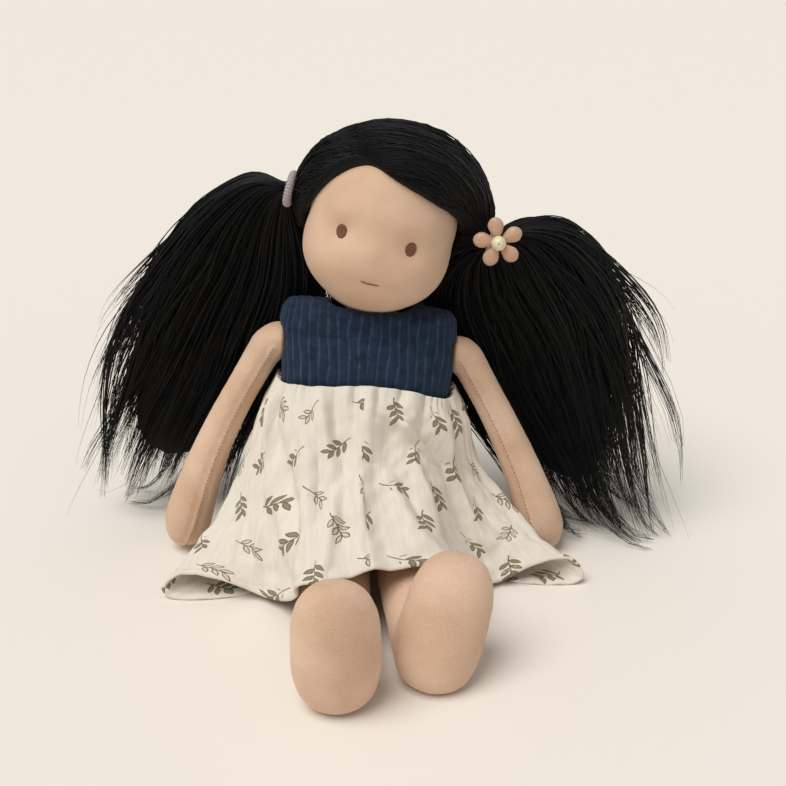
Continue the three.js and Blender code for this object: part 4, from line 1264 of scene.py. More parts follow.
@dataclass
class Head:
    """The head: full cheeks, a drawn-in eye line, soft hollows at the eyes, embroidered eyes and mouth."""

    width: float = 70.0
    depth: float = 70.0
    height: float = 84.5
    drop: float = 8.0
    neck_hole: float = 9.0
    cheek: float = 2.4
    eye_dip: float = 0.8
    eye_spacing: float = 32.0
    eye_width: float = 5.0
    eye_height: float = 6.5
    eye_rise: float = 0.75
    eye_drop: float = 2.6
    mouth_width: float = 8.6
    mouth_drop: float = 21.6
    mouth_side: float = 2.0
    rows: int = 150
    columns: int = 220
    skin: bpy.types.Object | None = None
    surface: BVHTree | None = None

    def swell(self, share: Any) -> Any:
        """How far the head stands out beyond its egg shape at a tilt share."""
        return self.cheek * bump(share, 0.68, 0.12) - self.eye_dip * bump(share, 0.51, 0.05)

    def form(self) -> tuple[Array, list[tuple[int, ...]]]:
        """The head's skin as rows from the crown to the neck.

        Returns:
            Its points in the head's own axes and the corners of its faces.
        """
        last = 1 - math.asin(self.neck_hole / (self.width / 2)) / math.pi
        share = np.linspace(0.004, last, self.rows)[:, None] * np.ones((1, self.columns))
        azimuth = np.ones((self.rows, 1)) * (TURN * np.arange(self.columns) / self.columns)[None, :]
        tilt = math.pi * share
        swell = self.swell(share)
        points = np.stack([(self.width / 2 * np.sin(tilt) + swell) * np.cos(azimuth),
                           (self.depth / 2 * np.sin(tilt) + swell) * np.sin(azimuth),
                           self.drop + self.height / 2 * np.cos(tilt)], axis=-1)
        normals = outward_normals(points)
        x, z = points[..., 0], points[..., 2] - self.drop
        front = eased(0, -12, points[..., 1])
        rise = np.zeros_like(x)
        for side in (-1, 1):
            eye_x = side * self.eye_spacing / 2
            rise -= 2.1 * np.exp(-((x - eye_x) / 5.6) ** 2 - ((z + self.eye_drop) / 5.2) ** 2)
            rise += 1.6 * np.exp(-((x - side * 19.5) / 11.5) ** 2 - ((z + 17) / 9.5) ** 2)
            rise += 0.7 * np.exp(-((x - side * 13) / 9) ** 2 - ((z - 8) / 5) ** 2)
        rise += 1.2 * np.exp(-(x / 5.5) ** 2 - ((z + 8) / 6) ** 2)
        rise -= 0.55 * np.exp(-((x - self.mouth_side) / 6.5) ** 2 - ((z + self.mouth_drop) / 2.6) ** 2)
        rise += 0.7 * np.exp(-((x - self.mouth_side) / 9) ** 2 - ((z + 29) / 5) ** 2)
        rise += 0.12 * np.sin(x / 3.1 + 1) * np.sin(z / 4.3)
        points = points + normals * (rise * front)[..., None]
        return body_through(points)

    def on_face(self, sideways: Any, height: Any) -> tuple[Array, Array]:
        """The face's points at places seen from the front.

        Args:
            sideways: The places across.
            height: The places' heights.

        Returns:
            The points and their normals, in the head's own axes.
        """
        places, normals = [], []
        for x, z in zip(np.atleast_1d(sideways), np.atleast_1d(height)):
            start, way = HEAD.world(vec(x, -self.depth, z)), HEAD.way(DEEP)
            place, normal, _, _ = self.surface.ray_cast(Vector(start), Vector(way))
            places.append(HEAD.local(np.array(place)))
            normals.append(np.array(normal) @ HEAD.axes)
        return np.array(places), np.array(normals)

    def eye(self, name: str, side: int) -> bpy.types.Object:
        """One eye: a low dome of upright satin stitches in an oval.

        Args:
            name: The eye's name.
            side: 1 for the left one and -1 for the right one.

        Returns:
            The piece.
        """
        middle = side * self.eye_spacing / 2
        rings_count, sides = 16, 56
        radius = np.linspace(0, 1, rings_count)[1:]
        angle = TURN * np.arange(sides) / sides
        x = np.concatenate([[0.0], (radius[:, None] * np.cos(angle)).ravel()])
        z = np.concatenate([[0.0], (radius[:, None] * np.sin(angle)).ravel()])
        ragged = 1 + 0.025 * np.sin(9 * np.arctan2(z, x) + side)
        px, pz = x * self.eye_width / 2 * ragged, z * self.eye_height / 2 * ragged
        on, normal = self.on_face(middle + px, self.drop - self.eye_drop + pz)
        away = np.hypot(x, z)
        threads = 0.08 * np.abs(np.cos(px * math.pi / 0.42 + 0.15 * pz))
        top = on + normal * (0.06 + self.eye_rise * np.sqrt(np.maximum(0, 1 - away ** 2))
                             + threads * (away < 0.97))[:, None]
        foot = on[-sides:] - normal[-sides:] * 0.05
        points = np.concatenate([top, foot, [foot.mean(0)]])
        faces = [(0, 1 + k, 1 + (k + 1) % sides) for k in range(sides)]
        for r in range(rings_count - 1):
            low, high = 1 + r * sides, 1 + (r + 1) * sides
            faces += [(low + k, high + k, high + (k + 1) % sides, low + (k + 1) % sides)
                      for k in range(sides)]
        last, centre = 1 + (rings_count - 1) * sides, len(points) - 1
        faces += [(last + (k + 1) % sides, last + k, centre) for k in range(sides)]
        made = make_object(f"{name}_stitched", HEAD.world(points), outward(points, faces),
                           WARDROBE.of(Finish.EYE))
        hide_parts(name)
        return made

    def mouth(self) -> bpy.types.Object:
        """The mouth: one slightly sagging line of embroidery thread.

        Returns:
            The piece.
        """
        share = np.linspace(-1, 1, 25)
        on, normal = self.on_face(self.mouth_side + self.mouth_width / 2 * share,
                                  self.drop - self.mouth_drop - 0.35 * (1 - share ** 2))
        radii = 0.38 * (0.35 + 0.65 * np.sqrt(np.maximum(0, 1 - share ** 2)))
        points, faces = body_through(rings_along(on + normal * 0.16, vec(0.31, 0.22, 0.92), radii, radii, 10))
        made = make_object("mouth_stitched", HEAD.world(points), faces, WARDROBE.of(Finish.MOUTH))
        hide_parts("mouth")
        return made

    def build(self) -> None:
        """Makes the head's pieces."""
        points, faces = self.form()
        knit = SkinCloth(rib_axes=HEAD.axes)
        self.skin = make_object("head_bag", HEAD.world(points), faces, WARDROBE.of(knit))
        self.surface = tree_of(self.skin)
        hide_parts("head_skin", "head_core")
        for made in (self.skin, self.eye("eye_left", 1), self.eye("eye_right", -1), self.mouth()):
            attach(made, "head")


# Arms and legs

@dataclass
class Arm:
    """A stuffed arm that swells into a mitten hand, with a hand-stitched seam along its front."""

    word: str
    side: int
    splay: float
    forward: float
    bow: float
    tuck: float
    seam_offset: float
    shoulder: float = 74.0
    root_out: float = 39.9
    root_radius: float = 10.0
    bend_radius: float = 12.0
    length: float = 110.0
    upper_width: float = 20.0
    hand_width: float = 25.0
    depth_share: float = 0.92
    slender: float = 0.86
    rows: int = 46
    sides: int = 28
    shares: tuple[float, ...] = (0.14, 0.3, 0.46, 0.62, 0.76, 0.87, 0.94, 0.98, 0.997)
    fulls: tuple[float, ...] = (0.02, 0.12, 0.3, 0.56, 0.84, 1, 1, 1, 1)
    ends: tuple[float, ...] = (1, 1, 1, 1, 1, 0.97, 0.8, 0.56, 0.26)

    def spine(self) -> tuple[Array, Array]:
        """The arm's middle line.

        Returns:
            Its points in the body's axes and half the arm's width at each.
        """
        root = vec(self.side * self.root_out, 0, self.shoulder)
        bend = math.pi / 2 - math.radians(self.splay)
        elbow = [root + vec(self.side * self.bend_radius * math.sin(bend * s), 0,
                            self.bend_radius * (math.cos(bend * s) - 1)) for s in (0, 0.35, 0.7, 1)]
        way = unit(vec(self.side * math.sin(math.radians(self.splay)), -math.sin(math.radians(self.forward)),
                       -math.cos(math.radians(self.splay))))
        sleeve = [elbow[-1] + way * (self.length - self.tuck) * s
                  + vec(self.side * self.bow * math.sin(math.pi * s), 0, 0) for s in self.shares]
        halves = [self.root_radius] * 4 + [mix(self.upper_width, self.hand_width, f) * e / 2
                                           for f, e in zip(self.fulls, self.ends)]
        return np.array(elbow + sleeve), np.array(halves)

    def form(self) -> Array:
        """The arm before it is stuffed, a little slimmer than it ends.

        Returns:
            Its loops in the body's axes.
        """
        centres, halves = self.spine()
        halves = halves * np.concatenate([(1, 0.97, 0.93, 0.89), self.slender + (1 - self.slender)
                                          * np.array(self.fulls)])
        deeps = halves * np.array([1.0] * 4 + [self.depth_share] * len(self.shares))
        loops = rings_along(centres, DEEP, deeps - 0.4, halves - 0.4, self.sides)
        loops[0] = ring(centres[0] + vec(self.side * 0.8, 0, 0), vec(self.side, 0, 0), DEEP,
                        self.root_radius - 1.2, self.root_radius - 1.2, self.sides)
        return smooth_at(loops, np.linspace(0, 1, self.rows))

    def seam(self, surface: BVHTree) -> Array:
        """The line of the seam on the arm's front.

        Args:
            surface: The arm's search tree.

        Returns:
            The line's points in the frame's axes.
        """
        centres, halves = self.spine()
        share = np.linspace(0.2, 0.985, 90)
        line, wide = smooth_at(centres, share), smooth_at(halves, share)
        across = -self.side * self.seam_offset * wide * (1 - 0.6 * eased(0.93, 1.0, share))
        facing = unit(vec(-0.1 * self.side, -0.93, 0.36))
        path = []
        for point, shift in zip(line, across):
            start = BODY.world(point + vec(shift, 0, 0)) + facing * 40
            place, normal, _, _ = surface.ray_cast(Vector(start), Vector(-facing))
            if place is not None:
                path.append(np.array(place))
        return smooth_at(path, np.linspace(0, 1, 110))

    def build(self) -> None:
        """Makes the arm and its seam."""
        points, faces = body_through(self.form())
        made = make_object(f"arm_{self.word}_stuffed", BODY.world(points), faces, WARDROBE.of(LIMB_SKIN))
        Filling(voxel=2.2, swell=0.9).stuff(made, floor=0.4)
        local = BODY.local(points_of(made))
        local[:, 0] = self.side * np.maximum(self.side * local[:, 0], self.root_out - 0.1)
        points = BODY.world(local)
        path = self.seam(tree_of(made))
        near = np.linalg.norm(points[:, None, :] - path[None, ::2, :], axis=2).min(axis=1)
        move_points(made, points)
        normals = np.array([v.normal for v in made.data.vertices])
        move_points(made, points + normals * (0.45 * np.exp(-(near / 0.9) ** 2)
                                              - 0.3 * np.exp(-((near - 2.4) / 1.1) ** 2))[:, None])
        surface = tree_of(made)
        laid = [np.array(place) + np.array(normal) * 0.12
                for place, normal, _, _ in (surface.find_nearest(Vector(point)) for point in path)]
        stitches = StitchRow(pitch=1.9, length=1.25).sew(f"arm_{self.word}_seam_stitches", [np.array(laid)])
        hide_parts(f"arm_{self.word}_skin", f"arm_{self.word}_stuffing")
        for piece in (made, stitches):
            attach(piece, f"arm_{self.word}")


@dataclass
class Leg:
    """A stuffed leg: thin at the sewn hip fold, full at the thigh, with a long foot turned up."""

    word: str
    side: int
    turn: float
    lean: float
    tip: float
    tuck: float
    spacing: float = 34.6
    hip_y: float = -27.7
    hip_z: float = 16.0
    length: float = 112.0
    root_depth: float = 3.6
    root_gap: float = 1.2
    thigh_width: float = 33.0
    thigh_depth: float = 34.0
    foot_length: float = 62.0
    foot_width: float = 38.0
    foot_thickness: float = 28.0
    floor_cut: float = 0.5
    slim: float = 0.2
    alongs: tuple[float, ...] = (0, 0.06, 0.14, 0.25, 0.45, 0.65, 0.8, 0.95)
    depths: tuple[float, ...] = (0, 0.34, 0.7, 0.95, 1, 0.93, 0.86, 0.7)
    widths: tuple[float, ...] = (0.86, 0.94, 0.99, 1, 0.97, 0.9, 0.86, 0.8)
    lows: tuple[float, ...] = (0, 0.4, 0.8, 1, 1, 1, 1, 1)
    ups: tuple[float, ...] = (0, 0.05, 0.14, 0.32, 0.52, 0.7, 0.84, 0.93, 0.98)
    foot_wides: tuple[float, ...] = (0.4, 0.66, 0.88, 1, 1, 0.96, 0.82, 0.6, 0.32)
    foot_deeps: tuple[float, ...] = (0.46, 0.74, 0.94, 1.04, 1, 0.94, 0.8, 0.58, 0.3)

    def place(self) -> Place:
        """Where the hip is and how the leg is turned."""
        return Place(vec(self.side * self.spacing / 2, self.hip_y, self.hip_z),
                     turned("Z", self.side * self.turn))

    def forms(self) -> list[Array]:
        """The leg and the foot before they are stuffed.

        Returns:
            The loops of each, in the leg's own axes.
        """
        reach = self.length - self.tuck - self.foot_thickness / 2
        leg = []
        for along, depth, width, low_share in zip(self.alongs, self.depths, self.widths, self.lows):
            deep = mix(self.root_depth, self.thigh_depth, depth)
            low = deep / 2 - self.floor_cut - self.hip_z
            facing = turned("Z", self.side * self.turn * (low_share - 1)) @ DEEP
            leg.append(ring(vec(0, -mix(self.root_gap, reach, along), low * low_share), facing, ACROSS,
                            self.thigh_width / 2 * width - self.slim, max(deep / 2 - self.slim, 0.9), 32))
        way = unit(vec(self.side * math.sin(math.radians(self.tip)), math.sin(math.radians(self.lean)),
                       math.cos(math.radians(self.tip))))
        heel = vec(0, -reach, -self.hip_z - self.floor_cut)
        foot = [ring(heel + way * (self.foot_length * up + self.slim * (1 - 2 * up)), way, ACROSS,
                     self.foot_width / 2 * wide - self.slim, self.foot_thickness / 2 * deep - self.slim, 32)
                for up, wide, deep in zip(self.ups, self.foot_wides, self.foot_deeps)]
        return [smooth_at(np.array(rows), np.linspace(0, 1, 34)) for rows in (leg, foot)]

    def build(self) -> None:
        """Makes the leg."""
        (points, faces), (foot_points, foot_faces) = (body_through(loops) for loops in self.forms())
        faces = faces + [tuple(k + len(points) for k in face) for face in foot_faces]
        points = self.place().world(np.concatenate([points, foot_points]))
        points[:, 2] = np.maximum(points[:, 2], 0.4)
        made = make_object(f"leg_{self.word}_stuffed", points, faces, WARDROBE.of(LIMB_SKIN))
        Filling(voxel=2.3, swell=0.9).stuff(made, floor=0.25)
        points = points_of(made)
        points[:, 1] = np.minimum(points[:, 1], self.hip_y - 0.6)
        move_points(made, points)
        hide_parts(f"leg_{self.word}_skin", f"leg_{self.word}_stuffing")
        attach(made, f"leg_{self.word}")


# Dress

def waist_rise(x: Array, y: Array) -> Array:
    """How far the waist seam rides up in front, at places in the body's axes."""
    return smooth_at((0, 2.5, 5.0, 4.0, -2.0), (x + 40) / 80) * eased(4, -10, y)


def ripples(u: Array, v: Array, sizes: Sequence[float], count: int, seed: int) -> Array:
    """Soft random relief of height about one.

    Args:
        u: Places across in millimetres.
        v: Places along in millimetres.
        sizes: The shortest and the longest wave in millimetres.
        count: How many waves are summed.
        seed: The fixed seed.

    Returns:
        The height at each place.
    """
    random = np.random.default_rng(seed)
    total = np.zeros(np.broadcast(u, v).shape)
    for _ in range(count):
        wave, turn, phase = TURN / random.uniform(*sizes), random.uniform(0, TURN), random.uniform(0, TURN)
        total += np.sin(wave * (u * math.cos(turn) + v * math.sin(turn)) + phase)
    return total / math.sqrt(count)


@dataclass
class Bodice:
    """The corduroy bodice: upright wales that run over puffed shoulders to a boat neck."""

    bag: BodyBag
    foot: float = 56.5
    lift: float = 1.9
    wall: float = 1.5
    neck_width: float = 38.0
    neck_depth: float = 29.0
    neck_clear: float = 14.7
    armhole: float = 10.8
    shoulder: float = 74.0
    wale_pitch: float = 4.7
    wale_height: float = 0.55
    columns_each: int = 8
    rows: int = 78
    cap_rise: float = 3.2
    collar_rise: float = 1.8
    right_ease: float = 2.2
    straight_share: float = 0.6
    girth: float = field(init=False, default=0.0)

    def half_depth(self, height: Any) -> Any:
        """Half the bodice's depth: the bag's, but never less than the neck needs."""
        return np.maximum(self.bag.half_depth(height), self.neck_clear)

    def quarter(self, height: float) -> tuple[Array, Array]:
        """A section's outline from the front's middle to the left side.

        Args:
            height: The section's height above the fold.

        Returns:
            Its points and the outline's length up to each.
        """
        narrowing = float(smooth_at((1, 1, 1, 1, 0.97), (height - self.foot) / 34))
        wide = self.bag.width / 2 * narrowing + self.lift
        angle = np.linspace(-math.pi / 2, 0, 500)
        x, y = outline(angle, wide, float(self.half_depth(height)) + self.lift, self.bag.squareness)
        points = np.stack([x, y], axis=1)
        return points, np.concatenate([[0], np.cumsum(np.linalg.norm(np.diff(points, axis=0), axis=1))])

    def grid(self) -> tuple[Array, Array]:
        """The bodice's outer cloth: the bag's own form, then the wales and the cloth's soft puffs on it.

        Returns:
            The cloth as rows of points from the waist to the neckline, and how high on a wale each point is.
        """
        side_rows = int(self.rows * 0.74)
        base = self.smooth_cloth(side_rows)
        count = len(base)
        row = np.linspace(0, 1, count)[:, None]
        base[..., 0] -= self.right_ease * eased(0, -20, base[..., 0]) * eased(0.15, 0.6, row)
        base[..., 2] += waist_rise(base[..., 0], base[..., 1]) * np.clip(1 - row * 1.5, 0, 1)
        wave = np.arange(base.shape[1])[None, :] / self.columns_each + 0.5 / self.columns_each
        wander = 0.08 * np.sin(row * 7 + wave * 0.9) + 0.05 * np.sin(row * 15 + wave * 2.3)
        phase = np.abs(np.sin(math.pi * (wave + wander)))
        ridge = np.clip(phase * 1.6, 0, 1) ** 0.8
        uneven = 1 + 0.3 * np.sin(wave * 1.7) * np.sin(row * 9 + wave)
        normals = outward_normals(base)
        seam = np.ones(count)
        seam[side_rows:] = 1 - np.linspace(0, 1, count - side_rows + 1)[1:] ** 5
        at_seam = np.where(np.abs(base[-1, :, 0]) > self.neck_width / 2 - 3, 1.0, 0.0)
        fade = 1 - (1 - seam)[:, None] * at_seam[None, :]
        puff = 0.9 * np.sin(math.pi * np.clip(row * 1.1, 0, 1)) + 0.4 * np.sin(wave * 0.55 + 3 * row)
        dent = 0.35 * np.sin(wave * 0.31 + 5 * row) * np.sin(11 * row)
        return base + normals * ((self.wale_height * ridge * uneven + puff + dent) * fade)[..., None], ridge

    def smooth_cloth(self, side_rows: int) -> Array:
        """The bodice before its wales: up the bag's sides and over the shoulders to the neckline.

        Args:
            side_rows: How many of the rows run up the sides.

        Returns:
            The rows of points.
        """
        full = self.quarter(self.foot + 8)[1][-1]
        self.girth = 4 * full
        count = round(full / self.wale_pitch) * self.columns_each
        steps = (np.arange(count) + 0.5) / count * full
        keep = self.straight_share * full
        rows = []
        for height in np.linspace(self.foot - 0.2, self.bag.height, side_rows):
            points, length = self.quarter(height)
            place = np.where(steps < keep, steps, keep + (steps - keep) * (length[-1] - keep) / (full - keep))
            x, y = np.interp(place, length, points[:, 0]), np.interp(place, length, points[:, 1])
            rows.append(np.stack([x, y, np.full(count, height)], axis=1))
        top = rows[-1]
        open_share = np.sqrt(np.clip(1 - (top[:, 0] / (self.neck_width / 2)) ** 2, 0, 1))
        near = eased(self.neck_width / 2 + 1, self.neck_width / 2 - 3, top[:, 0])
        rim = -self.neck_depth / 2 * open_share * near
        room = np.clip((rim - top[:, 1]) / 9, 0, 1)
        for s in np.linspace(0, 1, self.rows - side_rows + 1)[1:]:
            over = top.copy()
            over[:, 1] = mix(top[:, 1], rim, 1 - math.cos(s * math.pi / 2))
            over[:, 2] += self.cap_rise * (0.15 + room) * math.sin(s * math.pi / 2)
            over[:, 2] += self.collar_rise * eased(self.neck_width / 2 + 4, 4, top[:, 0]) * s
            rows.append(over)
        quarter = np.array(rows)
        flip_x, flip_y = np.array([-1, 1, 1]), np.array([1, -1, 1])
        return np.concatenate([quarter, quarter[:, ::-1] * flip_y, quarter * flip_x * flip_y,
                               quarter[:, ::-1] * flip_x], axis=1)

    def build(self) -> None:
        """Makes the bodice, cuts its armholes and gives it its thickness."""
        grid, ridge = self.grid()
        rows, columns = grid.shape[:2]
        points = grid.reshape(-1, 3)
        faces = strip_faces(rows, columns)
        away = np.hypot(points[:, 1], points[:, 2] - self.shoulder)
        at_side = np.abs(points[:, 0]) > 20
        inside = (away < self.armhole) & at_side
        keep = [f for f in faces if not all(inside[list(f)])]
        edge = np.unique([k for f in keep for k in f])
        rim = edge[inside[edge]]
        factor = self.armhole / np.maximum(away[rim], 1e-6)
        points[rim, 1] *= factor
        points[rim, 2] = self.shoulder + (points[rim, 2] - self.shoulder) * factor
        used = -np.ones(len(points), int)
        used[edge] = np.arange(len(edge))
        faces = [tuple(int(used[k]) for k in f) for f in keep]
        made = make_object("bodice_corduroy", BODY.world(points[edge]), faces, WARDROBE.of(WaleCorduroy()))
        add_attribute(made, "ridge", ridge.ravel()[edge])
        if (made.data.polygons[0].normal @ Vector(BODY.way(points[edge][list(faces[0])[0]]))) < 0:
            made.data.flip_normals()
        weld = made.modifiers.new("shoulder_seams", "WELD")
        weld.merge_threshold = 0.03 * MM
        settled(made)
        shell = made.modifiers.new("wall", "SOLIDIFY")
        shell.thickness, shell.offset, shell.use_even_offset = self.wall * MM, -1, False
        settled(made)
        shade_smooth(made)
        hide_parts("bodice")
        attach(made, "torso")
        self.topstitch(grid)

    def topstitch(self, grid: Array) -> None:
        """The row of small stitches under the neckline.

        Args:
            grid: The bodice's outer cloth.
        """
        row = grid[-5]
        path = np.concatenate([row, row[:1]])
        stitches = StitchRow(pitch=2.6, length=1.7, thickness=0.4, finish=Finish.NAVY).sew(
            "bodice_neck_stitches", [BODY.world(path + vec(0, 0, 0.1))])
        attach(stitches, "torso")


class SkirtPart(Enum):
    """The skirt's pieces of cloth: the main part and the two that lie on the legs."""

    MAIN = "skirt_gauze"
    LEFT_LAP = "skirt_gauze_left_lap"
    RIGHT_LAP = "skirt_gauze_right_lap"


@dataclass
class Skirt:
    """The gauze skirt: gathered at the waist, over the lap and out into a wing at each side."""

    bag: BodyBag
    waist: float = 56.5
    ease: float = 0.6
    wall: float = 1.2
    lap_height: float = 38.0
    lap_reach: float = 86.0
    wing_reach: float = 100.0
    skew: float = 10.0
    shift: float = 5.0
    folds: int = 14
    fold_depth: float = 3.7
    columns: int = 448
    rows: int = 104
    length: float = 118.0
    girth: float = 460.0
    hem_width: float = 4.4
    # The photograph's larger creases: share round and down of both ends, width and height in mm
    creases: tuple[tuple[float, ...], ...] = (
        (0.84, 0.0, 0.925, 0.96, 5.0, 3.0), (0.004, 0.0, 0.012, 0.4, 4.5, 2.6),
        (0.0, 0.08, 0.1, 0.36, 5.5, 2.6), (0.03, 0.46, 0.055, 0.95, 4.0, 2.2),
        (0.95, 0.02, 0.97, 0.5, 4.0, 1.8), (0.11, 0.05, 0.15, 0.8, 5.0, 2.6),
        (0.06, 0.3, 0.085, 0.8, 3.5, 1.6), (0.885, 0.25, 0.86, 0.9, 4.5, 2.0),
        (0.975, 0.5, 0.955, 0.96, 3.5, 1.6))
    lap_share: float = 0.132
    lap_start: float = 0.42
    # From the front to the back: the place on the waist, then how far out, how far forward and how high
    # the hem lies, and the same for the cloth's middle, as shares of the reaches and of the lap's or waist's
    # height
    lines: tuple[tuple[float, ...], ...] = (
        (0, 0, 1, 1, 0, 0.44, 0.57), (0.09, 0.17, 1, 1, 0.3, 0.44, 0.58),
        (0.18, 0.31, 0.96, 0.92, 0.56, 0.44, 0.58),
        (0.26, 0.42, 0.74, 0.36, 0.86, 0.42, 0.54), (0.34, 0.55, 0.56, 0.08, 1.18, 0.31, 0.36),
        (0.42, 0.73, 0.54, 0.29, 1.46, 0.24, 0.32), (0.48, 0.89, 0.51, 0.34, 1.62, 0.17, 0.24),
        (0.53, 1, 0.52, 0.16, 1.64, 0.1, 0.18), (0.57, 0.95, 0.54, 0.02, 1.4, 0, 0.12),
        (0.62, 0.78, 0.54, 0.02, 1.16, -0.12, 0.12), (0.67, 0.6, 0.48, 0.02, 1.06, -0.19, 0.14),
        (0.73, 0.5, 0.26, 0.02, 1.08, -0.24, 0.16), (0.79, 0.49, -0.05, 0.02, 1.12, -0.34, 0.24),
        (0.86, 0.42, -0.37, 0.02, 0.96, -0.52, 0.28), (0.93, 0.24, -0.62, 0.02, 0.56, -0.64, 0.3),
        (1, 0, -0.72, 0.02, 0, -0.68, 0.3))
    # How much of the skew and of the shift each of those places takes
    skews: tuple[float, ...] = (0, 0.5, 0.9, 0.8, 0.6, 0.6, 0.6, 0.6, 0.6, 0.6, 0.5, 0.3, 0, 0, 0, 0)
    shifts: tuple[float, ...] = (0.4, 0.6, 1, 1.2, 1.2, 0.8, 0.5, 0.5, 0.5, 0.5, 0.8, 0.4, 0, 0, 0, 0)

    def line_ends(self, share: Array) -> tuple[Array, Array, Array]:
        """The curves that the cloth hangs in, from the waist to the hem.

        Args:
            share: Places round the waist, from the front over the left.

        Returns:
            The top, the middle and the hem of the curve at each place.
        """
        side = np.where(share <= 0.5, 1.0, -1.0)
        along = 1 - np.abs(1 - 2 * share)
        waist, out_hem, on_hem, up_hem, out_mid, on_mid, up_mid = smooth_at(self.lines, along).T
        skew = side * self.skew * smooth_at(self.skews, along)
        shift = self.shift * smooth_at(self.shifts, along)
        clear = self.ease + self.wall / 2
        x, y = outline(math.pi * waist - math.pi / 2, float(self.bag.half_width(self.waist)) + clear,
                       float(self.bag.half_depth(self.waist)) + clear, self.bag.squareness)
        seam = self.waist - self.wall / 2 - 0.3 + waist_rise(side * x, y)
        top = BODY.world(np.stack([side * x, y, seam], axis=1))
        middle = np.stack([side * self.bag.width / 2 * out_mid + BODY.origin[0],
                           skew / 2 - self.lap_reach * on_mid, top[:, 2] * up_mid], axis=1)
        hem = np.stack([side * self.wing_reach * out_hem + shift, skew - self.lap_reach * on_hem,
                        np.maximum(self.lap_height * up_hem, self.wall / 2)], axis=1)
        return top, middle, hem

    def base(self) -> Array:
        """The cloth's middle surface before its folds.

        Returns:
            Its rows of points from the waist to the hem.
        """
        share = np.arange(self.columns) / self.columns
        top, middle, hem = self.line_ends(share)
        s = np.linspace(0, 1, self.rows)[:, None, None]
        return (1 - s) ** 2 * top + 2 * s * (1 - s) * middle + s * s * hem

    def folded(self) -> Array:
        """The cloth's middle surface with its gathers, folds and crinkles.

        Returns:
            Its rows of points from the waist to the hem.
        """
        base = self.base()
        normals = outward_normals(base)
        r = (np.arange(self.columns) / self.columns)[None, :]
        s = np.linspace(0, 1, self.rows)[:, None]
        z = base[..., 2]
        free = np.clip(z / (self.lap_height * 0.5), 0, 1)
        warp = r + 0.004 * np.sin(TURN * 3 * r + 1.1) * s + 0.003 * np.sin(TURN * 7 * r + 4 * s)
        uneven = 0.75 + 0.45 * np.sin(TURN * 5 * r + 2.0) * np.sin(TURN * 2 * r + 0.6)
        folds = np.maximum(0, np.cos(TURN * self.folds * warp)) ** 1.3 * self.fold_depth * uneven
        main = folds * smooth_at([0, 1, 1], s) * free
        drift = r + 0.002 * np.sin(TURN * 9 * r + 5 * s)
        pleating = np.abs(np.sin(TURN * 14.5 * drift + 1.3 + 2 * np.sin(TURN * 5 * r)))
        pleats = 2.9 * pleating * bump(s, 0.07, 0.17)
        gathers = 1.3 * np.abs(np.sin(TURN * 31 * drift + 2 * np.sin(TURN * 9 * r))) * np.exp(-s / 0.09)
        puff = 2.6 * bump(s, 0.16, 0.13)
        u, v = r * self.girth, s * self.length
        crumple = (0.75 * ripples(u, v * 0.6, (22, 48), 14, 3) * free
                   + 0.3 * ripples(u, v * 0.7, (6, 15), 22, 4))
        rise = main + pleats + gathers + puff + crumple * eased(0.0, 0.12, s)
        for r0, s0, r1, s1, width, height in self.creases:
            place = np.clip((s - s0) / (s1 - s0), 0, 1)
            away = ((r - mix(r0, r1, place) + 0.5) % 1 - 0.5) * self.girth
            fold = np.exp(-(away / width) ** 2) - 0.55 * np.exp(-((away - 1.7 * width) / (1.1 * width)) ** 2)
            inside = (s >= s0) & (s <= s1)
            rise = rise + (1.5 * height * fold * np.sin(math.pi * place) ** 0.6 * inside
                           * np.minimum(1, free + 0.3))
        return base + normals * rise[..., None]

    def layers(self) -> tuple[Array, Array]:
        """The cloth's two faces as one closed strip, with the rolled hem between them.

        Returns:
            The strip's rows of points and each row's share from the waist to the hem.
        """
        middle = self.folded()
        normals = outward_normals(middle)
        s = np.linspace(0, 1, self.rows)
        down = (1 - s) * self.length
        rolled = eased(self.hem_width, self.hem_width - 1.2, down)
        roll = np.clip(1 - ((down - self.hem_width / 2) / (self.hem_width / 1.7)) ** 2, 0, 1)
        half = 0.42 + 0.55 * rolled * np.sqrt(roll)
        outer = middle + normals * half[:, None, None]
        inner = middle - normals * half[:, None, None]
        tangent = unit(middle[-1] - middle[-2])
        edge = middle[-1] + tangent * 0.5
        strip = np.concatenate([outer, edge[None], inner[::-1]])
        strip[..., 2] = np.maximum(strip[..., 2], 0.1)
        return strip, np.concatenate([s, [1.004], s[::-1]])

    def part_of(self, column: Array, share: Array) -> Array:
        """Which piece of cloth a face belongs to.

        Args:
            column: The face's column in the strip.
            share: Its share from the waist to the hem.

        Returns:
            0 for the main piece, 1 for the left lap and 2 for the right one.
        """
        place = (column + 0.5) / self.columns
        low = share > self.lap_start
        return np.where(low & (place < self.lap_share), 1, np.where(low & (place > 1 - self.lap_share), 2, 0))

